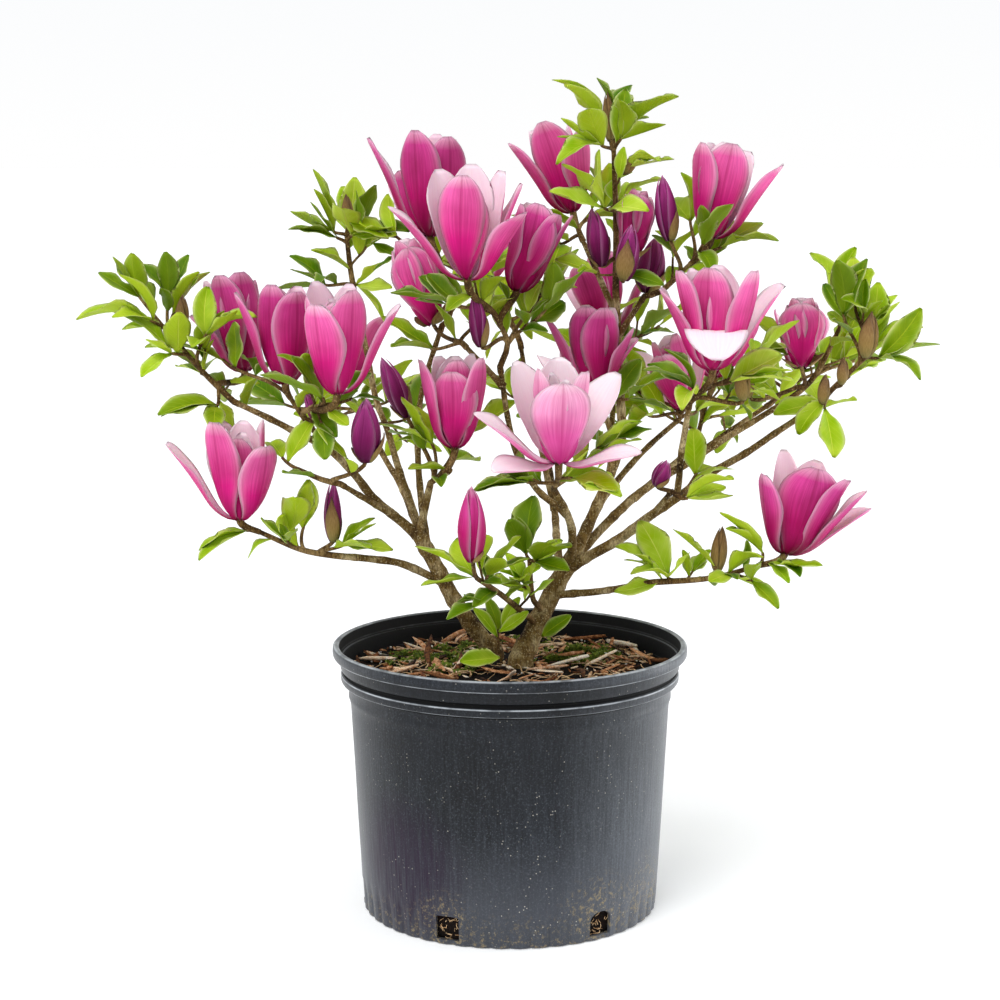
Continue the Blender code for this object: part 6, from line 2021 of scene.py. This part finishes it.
def pot_painted_sheen(shader, x, y, streak, grain):
    """Painted sheen: a grey highlight on the sides that face left and right, broken by the streaks."""
    right = shader.times(shader.minus(x, 0.035), 9.0, clamp=True)
    left = shader.times(shader.minus(shader.times(x, -1.0), 0.085), 7.0, clamp=True)
    sheen = shader.plus(shader.times(right, 0.70), shader.times(left, 0.50))
    sheen = shader.times(sheen, shader.ramp(streak, (0.30, 0.62), (0.60, 1.0)))
    sheen = shader.times(sheen, shader.ramp(y, (0.0, 1.0), (0.09, 0.30)))
    return shader.times(sheen, shader.ramp(grain, (0.36, 0.70), (0.60, 1.0)))


def pot_dust(shader, height):
    """Pale splashes: some of the cells' dots, in patches, more of them low down."""
    dot, cell = shader.dots(330.0, 0.10, 0.19)
    some = shader.ramp(cell, (0.62, 0.0), (0.68, 1.0))
    low = shader.ramp(height, (0.03, 1.0), (0.20, 0.55))
    where = shader.times(shader.ramp(shader.noise(26.0), (0.42, 0.0), (0.56, 1.0)), low)
    return shader.times(shader.times(dot, some), where)


def pot_crust(shader, height):
    """Dried crust along the foot and at its places."""
    pattern = shader.noise(260.0, 6.0, 0.8)
    foot = shader.times(shader.ramp(height, (0.004, 1.0), (0.030, 0.0)), 0.7)
    for place, far in CRUST_PLACES:
        near = shader.ramp(shader.away(place), (0.3 * far, 1.0), (far, 0.0))
        foot = shader.larger(foot, near)
        pattern = shader.plus(pattern, shader.times(near, 0.02))
    return shader.times(shader.ramp(pattern, (0.54, 0.0), (0.62, 1.0)), foot)


def pot_painted_highlights(shader, height):
    """Painted highlights: pale lines along the edges of the rim and the rings."""
    highlights = 0.0
    for level in HIGHLIGHT_EDGES:
        highlights = shader.larger(highlights, shader.line(shader.apart(height, level), HIGHLIGHT_REACH))
    return shader.times(highlights, shader.ramp(shader.noise(60.0, 4.0), (0.40, 0.35), (0.60, 1.0)))


def pot_inner_shade(shader, x, y, height):
    """1 on the inner wall and inside the lip, where painted shade darkens the plastic."""
    reach = shader.math("SQRT", shader.plus(shader.power(x, 2.0), shader.power(y, 2.0)))
    sides = []
    for level, radius in ((INNER_FROM, BAND_RADIUS - WALL / 2), (LIP_FROM, RIM_INNER + 0.0004)):
        sides.append(shader.times(shader.math("GREATER_THAN", height, level),
                                  shader.math("LESS_THAN", reach, radius)))
    return shader.larger(*sides)


def pot_material():
    """Black nursery plastic gone charcoal: fine vertical streaks, scuffs, dust and dried splashes, with
    painted sheen on the sides, painted highlights on the edges and painted shade under the rim and inside.
    """
    shader = Shader("pot_plastic", 0.36, 0.22)
    x, y, height = shader.split(shader.spot())
    streak = shader.noise(1.0, 4.0, 0.6, vector=shader.stretched(520.0, 520.0, 7.0))
    cloud = shader.noise(9.0, 4.0)
    grain = shader.noise(700.0, 3.0, 0.7)
    base = pot_film(shader, streak, cloud, grain)
    # Painted sheen that stands in for the light reflected on the pot's left and right flanks
    base = shader.mix(pot_painted_sheen(shader, x, y, streak, grain), base, "8A9098")
    base = shader.layer(base, height, (0.03, 0.26), (0.09, 0.0), "70747E")
    # Painted shade of the rim on the band, the ring and the body just below them
    base = shader.mix(shader.ramp(height, *RIM_SHADE), base, BLACK_FILM_AND_SHADE)
    purple = shader.ramp(shader.away(PURPLE_PLACE), (0.0, 0.95), (0.030, 0.85), (0.068, 0.0))
    purple = shader.times(purple, shader.ramp(streak, (0.34, 1.0), (0.62, 0.45)))
    base = shader.mix(purple, base, "200A26")
    dust = pot_dust(shader, height)
    base = shader.mix(dust, base, "B4B0A6")
    crust = pot_crust(shader, height)
    base = shader.tint(base, crust, 0.70, "A89468")
    # Painted highlights along the edges of the rim and the rings
    base = shader.mix(pot_painted_highlights(shader, height), base, "B4BAC0")
    # Painted shade: the inner wall and the inside of the lip darkened nearly to black
    inner = pot_inner_shade(shader, x, y, height)
    shader.set("Base Color", shader.tint(base, inner, 0.9, "030303"))
    rough = shader.plus(shader.times(cloud, 0.16), 0.26)
    rough = shader.plus(rough, shader.times(dust, 0.4))
    shader.set("Roughness", shader.plus(rough, shader.times(inner, 0.4)))
    shader.bump(shader.plus(streak, shader.times(crust, 1.2)), 0.25, 0.0006)
    return shader.material


def mix_material():
    """Damp dark crumbs, with browner patches."""
    shader = Shader("mix_soil", 0.95, 0.2)
    crumb = shader.noise(420.0, 5.0, 0.7)
    base = shader.ramp(crumb, (0.38, "040201"), (0.60, "100703"), (0.80, "3C2414"))
    base = shader.layer(base, shader.noise(70.0), (0.45, 0.0), (0.70, 0.3), "2C160C")
    shader.set("Base Color", base)
    shader.bump(crumb, 1.0, 0.0020)
    return shader.material


def chip_material(index, dark, middle, light):
    """Torn bark: a broken grain, and each splinter a little paler or darker."""
    shader = Shader(f"bark_chip_{index}", 0.85, 0.3)
    tone = shader.place()[0]
    grain = shader.noise(300.0, 5.0, 0.7)
    fine = shader.noise(1100.0, 3.0, 0.6)
    level = shader.plus(grain, shader.times(shader.minus(tone, 0.5), 0.34))
    base = shader.ramp(level, (0.30, dark), (0.50, middle), (0.68, light))
    shader.set("Base Color", shader.layer(base, fine, (0.35, 0.6), (0.50, 0.0), dark))
    shader.bump(shader.plus(grain, fine), 0.9, 0.0012)
    return shader.material


def small_material(name, dark, light):
    shader = Shader(name, 0.8)
    shader.set("Base Color", shader.ramp(shader.noise(520.0), (0.35, dark), (0.65, light)))
    return shader.material


def floor_material():
    """A white sweep, lit a little from within as in a light tent."""
    shader = Shader("floor_white", 0.7, 0.0)
    shader.set("Base Color", shader.ramp(shader.noise(3.0, 2.0), (0.0, "F6F7F8"), (1.0, "F8F9FA")))
    shader.set("Emission Color", (0.98, 0.99, 1.0, 1.0))
    shader.set("Emission Strength", FLOOR_GLOW)
    return shader.material


# Floor, light and camera

FLOOR_RADIUS = 60.0
FLOOR_LEVEL = -0.0002
FLOOR_SIDES = 64
# The dome as seen: its brightness by the height of the direction, from the horizon up
DOME = (
    (0.500, (1.0, 1.0, 1.0)),
    (0.533, (0.965, 0.975, 0.985)),
    (0.545, (0.89, 0.93, 0.945)),
    (0.590, (0.70, 0.71, 0.72)),
)
# The sun's way, strength and softness in degrees
SUN = ((0.45, 0.75, -1.0), 1.7, 35.0)
# Each panel of light: its name, its place, what it faces, its size and its power
PANELS = (
    ("right_light", (1.15, 0.30, 0.45), (0.0, 0.0, 0.25), (0.6, 1.1), 7.0),
    ("left_light", (-1.3, 0.1, 0.5), (0.0, 0.0, 0.2), (0.4, 1.1), 2.0),
)


def add_floor():
    mesh = bpy.data.meshes.new("floor")
    turns = [FULL_TURN * step / FLOOR_SIDES for step in range(FLOOR_SIDES)]
    points = [round_point(FLOOR_RADIUS, turn, FLOOR_LEVEL) for turn in turns]
    mesh.from_pydata(points, [], [list(range(FLOOR_SIDES))])
    mesh.materials.append(floor_material())
    floor = link_object("floor", mesh)


def aim(thing, way):
    thing.rotation_euler = Vector(way).to_track_quat("-Z", "Y").to_euler()


def add_sun():
    way, strength, softness = SUN
    light = bpy.data.lights.new("key_light", "SUN")
    light.energy = strength
    light.angle = math.radians(softness)
    aim(link_object("key_light", light), way)


def add_panel(name, place, target, size, power):
    light = bpy.data.lights.new(name, "AREA")
    light.shape = "RECTANGLE"
    light.size, light.size_y = size
    light.energy = power
    panel = link_object(name, light)
    panel.location = place
    aim(panel, Vector(target) - Vector(place))


def add_dome():
    """A white room whose brightness changes with height alone."""
    world = bpy.data.worlds.new("studio")
    world.use_nodes = True
    tree = world.node_tree
    direction = tree.nodes.new("ShaderNodeTexCoord")
    split = tree.nodes.new("ShaderNodeSeparateXYZ")
    level = tree.nodes.new("ShaderNodeMath")
    level.operation = "MULTIPLY_ADD"
    level.inputs[1].default_value = 0.5
    level.inputs[2].default_value = 0.5
    ramp = tree.nodes.new("ShaderNodeValToRGB")
    tree.links.new(direction.outputs["Generated"], split.inputs[0])
    tree.links.new(split.outputs[2], level.inputs[0])
    tree.links.new(level.outputs[0], ramp.inputs[0])
    tree.links.new(ramp.outputs[0], tree.nodes["Background"].inputs["Color"])
    elements = ramp.color_ramp.elements
    while len(elements) < len(DOME):
        elements.new(0.5)
    for element, (position, value) in zip(elements, DOME):
        element.position = position
        element.color = (*value, 1.0)
    bpy.context.scene.world = world


def add_camera():
    camera = bpy.data.cameras.new("camera")
    camera.sensor_width = SENSOR_WIDTH
    camera.sensor_fit = "HORIZONTAL"
    camera.lens = FOCAL_PIXELS / FRAME_PIXELS * SENSOR_WIDTH
    camera.clip_start = NEAR_CLIP
    camera.clip_end = FAR_CLIP
    thing = link_object("camera", camera)
    thing.location = CAMERA_PLACE
    thing.rotation_euler = (math.radians(90.0 - CAMERA_PITCH), 0.0, 0.0)
    bpy.context.scene.camera = thing


# The plant

# Shoots at the trunks' feet: the points and radii of the stem, then each leaf's root, tip and width
SPROUT_STEM = ((-0.0060, -0.012, 0.1950), (-0.0090, -0.013, 0.2090), (-0.0094, -0.012, 0.2240))
SPROUT_RADII = (0.0012, 0.0011, 0.0009)
SPROUT_FACE = (0.1, -0.9, 0.7)
# Their leaves take the first greens in turn
SPROUT_GREENS = 3
SPROUT_LEAVES = (
    ((-0.0102, -0.014, 0.2190), (-0.0273, -0.020, 0.2434), 0.010),
    ((-0.0094, -0.006, 0.2197), (-0.0172, -0.012, 0.2498), 0.011),
    ((-0.0086, -0.018, 0.2238), (0.0140, -0.024, 0.2418), 0.011),
    ((-0.0078, -0.030, 0.2060), (-0.0381, -0.040, 0.2070), 0.018),
    ((0.0250, -0.006, 0.2177), (0.0463, -0.014, 0.2366), 0.013),
    ((-0.0060, -0.010, 0.2250), (0.0060, -0.016, 0.2500), 0.010),
)
# The shade of each measured bloom that isn't rose, and how often each comes among the others
BLOOM_SHADES = {
    "left_behind": DEEP,
    "left_far": DEEP,
    "top_left": DEEP,
    "top_center_right": DEEP,
    "right_low": DEEP,
    "center_behind": DEEP,
    "center_front": PALE,
}
OTHER_SHADES = (ROSE, ROSE, DEEP, PALE)


def build_limbs(material):
    grown = {}
    batch = Batch()
    for index, limb in enumerate(LIMBS):
        grown[limb.name] = grow_limb(limb, grown)
        add_limb(batch, grown[limb.name], index)
    wood = batch.build("trunk_and_boughs", material)
    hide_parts(*[limb.name for limb in LIMBS])
    return grown


def bloom_shade(bloom, draw):
    other = draw.choice(OTHER_SHADES)
    return BLOOM_SHADES.get(bloom.shape, ROSE) if bloom.shape else other


def bud_shade(mass, bud):
    if bud.width >= CLOSED_BLOOM:
        return DEEP if bud.width < OPEN_TULIP else ROSE
    return DEEP if mass.name in BARE_BUD_MASSES else BUD_SHADE


def add_flowers(mass, tepals, bracts):
    """The blooms and buds of a mass."""
    draw = random.Random(mass.name + "_shades")
    for bloom in mass.blooms:
        axes = turn_frame(lean_axis(bloom.right, bloom.front), FLOWER_FACE)
        batch = tepals[bloom_shade(bloom, draw)]
        for index, tepal in enumerate(bloom_tepals(bloom)):
            add_tepal(batch, bloom.base, axes, tepal, f"{bloom.base}{index}")
    for bud in mass.buds:
        add_bud(tepals[bud_shade(mass, bud)], bracts, bud, bud_kind(mass, bud))


def add_leaves(growth, twigs, leaves, flowers):
    """The twigs of a mass, and the leaves on them that have room."""
    name = growth.mass.name
    draw = random.Random(name + "_leaves")
    for number, sprig in enumerate(growth.sprigs):
        radii = tapered(sprig.path, sprig.radius, sprig.tip_radius)
        add_tube(twigs, sprig.path, radii, TWIG_SIDES)
        green = draw.randrange(len(leaves))
        places = leaf_places(sprig.kind, sprig.path, growth.aims.get(number), draw)
        for index, (place, way, up, size) in enumerate(places):
            width = size * LEAF_WIDTH * draw.uniform(0.85, 1.18)
            blade = leaf_blade(place, way, up, size, width, f"{name}{number}_{index}")
            if has_room(blade, flowers):
                add_blade(leaves[green], blade, LEAF_THICKNESS)


def add_sprouts(twigs, leaves):
    """Young shoots from the trunks' feet."""
    add_tube(twigs, [Vector(point) for point in SPROUT_STEM], SPROUT_RADII, TWIG_SIDES)
    for index, (root, tip, width) in enumerate(SPROUT_LEAVES):
        root = Vector(root)
        way = Vector(tip) - root
        face = Vector(SPROUT_FACE).normalized()
        blade = leaf_blade(root, way.normalized(), face, way.length, width, f"sprout{index}")
        add_blade(leaves[index % SPROUT_GREENS], blade, LEAF_THICKNESS)


def build_foliage(grown):
    twigs = Batch()
    leaves = [Batch() for _ in LEAF_GREENS]
    tepals = [Batch() for _ in TEPAL_SHADES]
    bracts = Batch()
    growths = [Growth(mass) for mass in MASSES]
    for growth in growths:
        grow_frame(growth, grown)
        add_flowers(growth.mass, tepals, bracts)
    flowers = [batch.tree() for batch in tepals + [bracts]]
    for growth in growths:
        grow_side_twigs(growth)
        add_leaves(growth, twigs, leaves, flowers)
    add_sprouts(twigs, leaves)
    twig_piece = twigs.build("twigs", bark_material("twig_bark", "2E1C0A", "6C5028", "B89C68", 0.3))
    for index, (batch, shades) in enumerate(zip(leaves, LEAF_GREENS)):
        batch.build(f"leaves_{index}", leaf_material(index, *shades))
    for index, (batch, shades) in enumerate(zip(tepals, TEPAL_SHADES)):
        batch.build(f"tepals_{index}", tepal_material(index, *shades))
    bracts.build("bud_bracts", bract_material())
    names = [mass.name for mass in MASSES]
    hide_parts(*names)


def build_all():
    add_camera()
    add_dome()
    add_sun()
    for panel in PANELS:
        add_panel(*panel)
    add_floor()
    build_pot(pot_material())
    build_mix(mix_material())
    build_chips([chip_material(index, *browns) for index, browns in enumerate(CHIP_BROWNS)])
    build_roots(small_material("root_fiber", "A5794C", "E0C298"))
    build_moss(small_material("moss_green", "2C4606", "86962A"))
    build_grit(small_material("perlite", "D8D4C8", "F8F6F0"))
    build_foliage(build_limbs(bark_material("bark", "34200A", "7E6434", "D6C294", 0.6)))


bpy.context.scene.view_settings.view_transform = "Standard"
build_all()
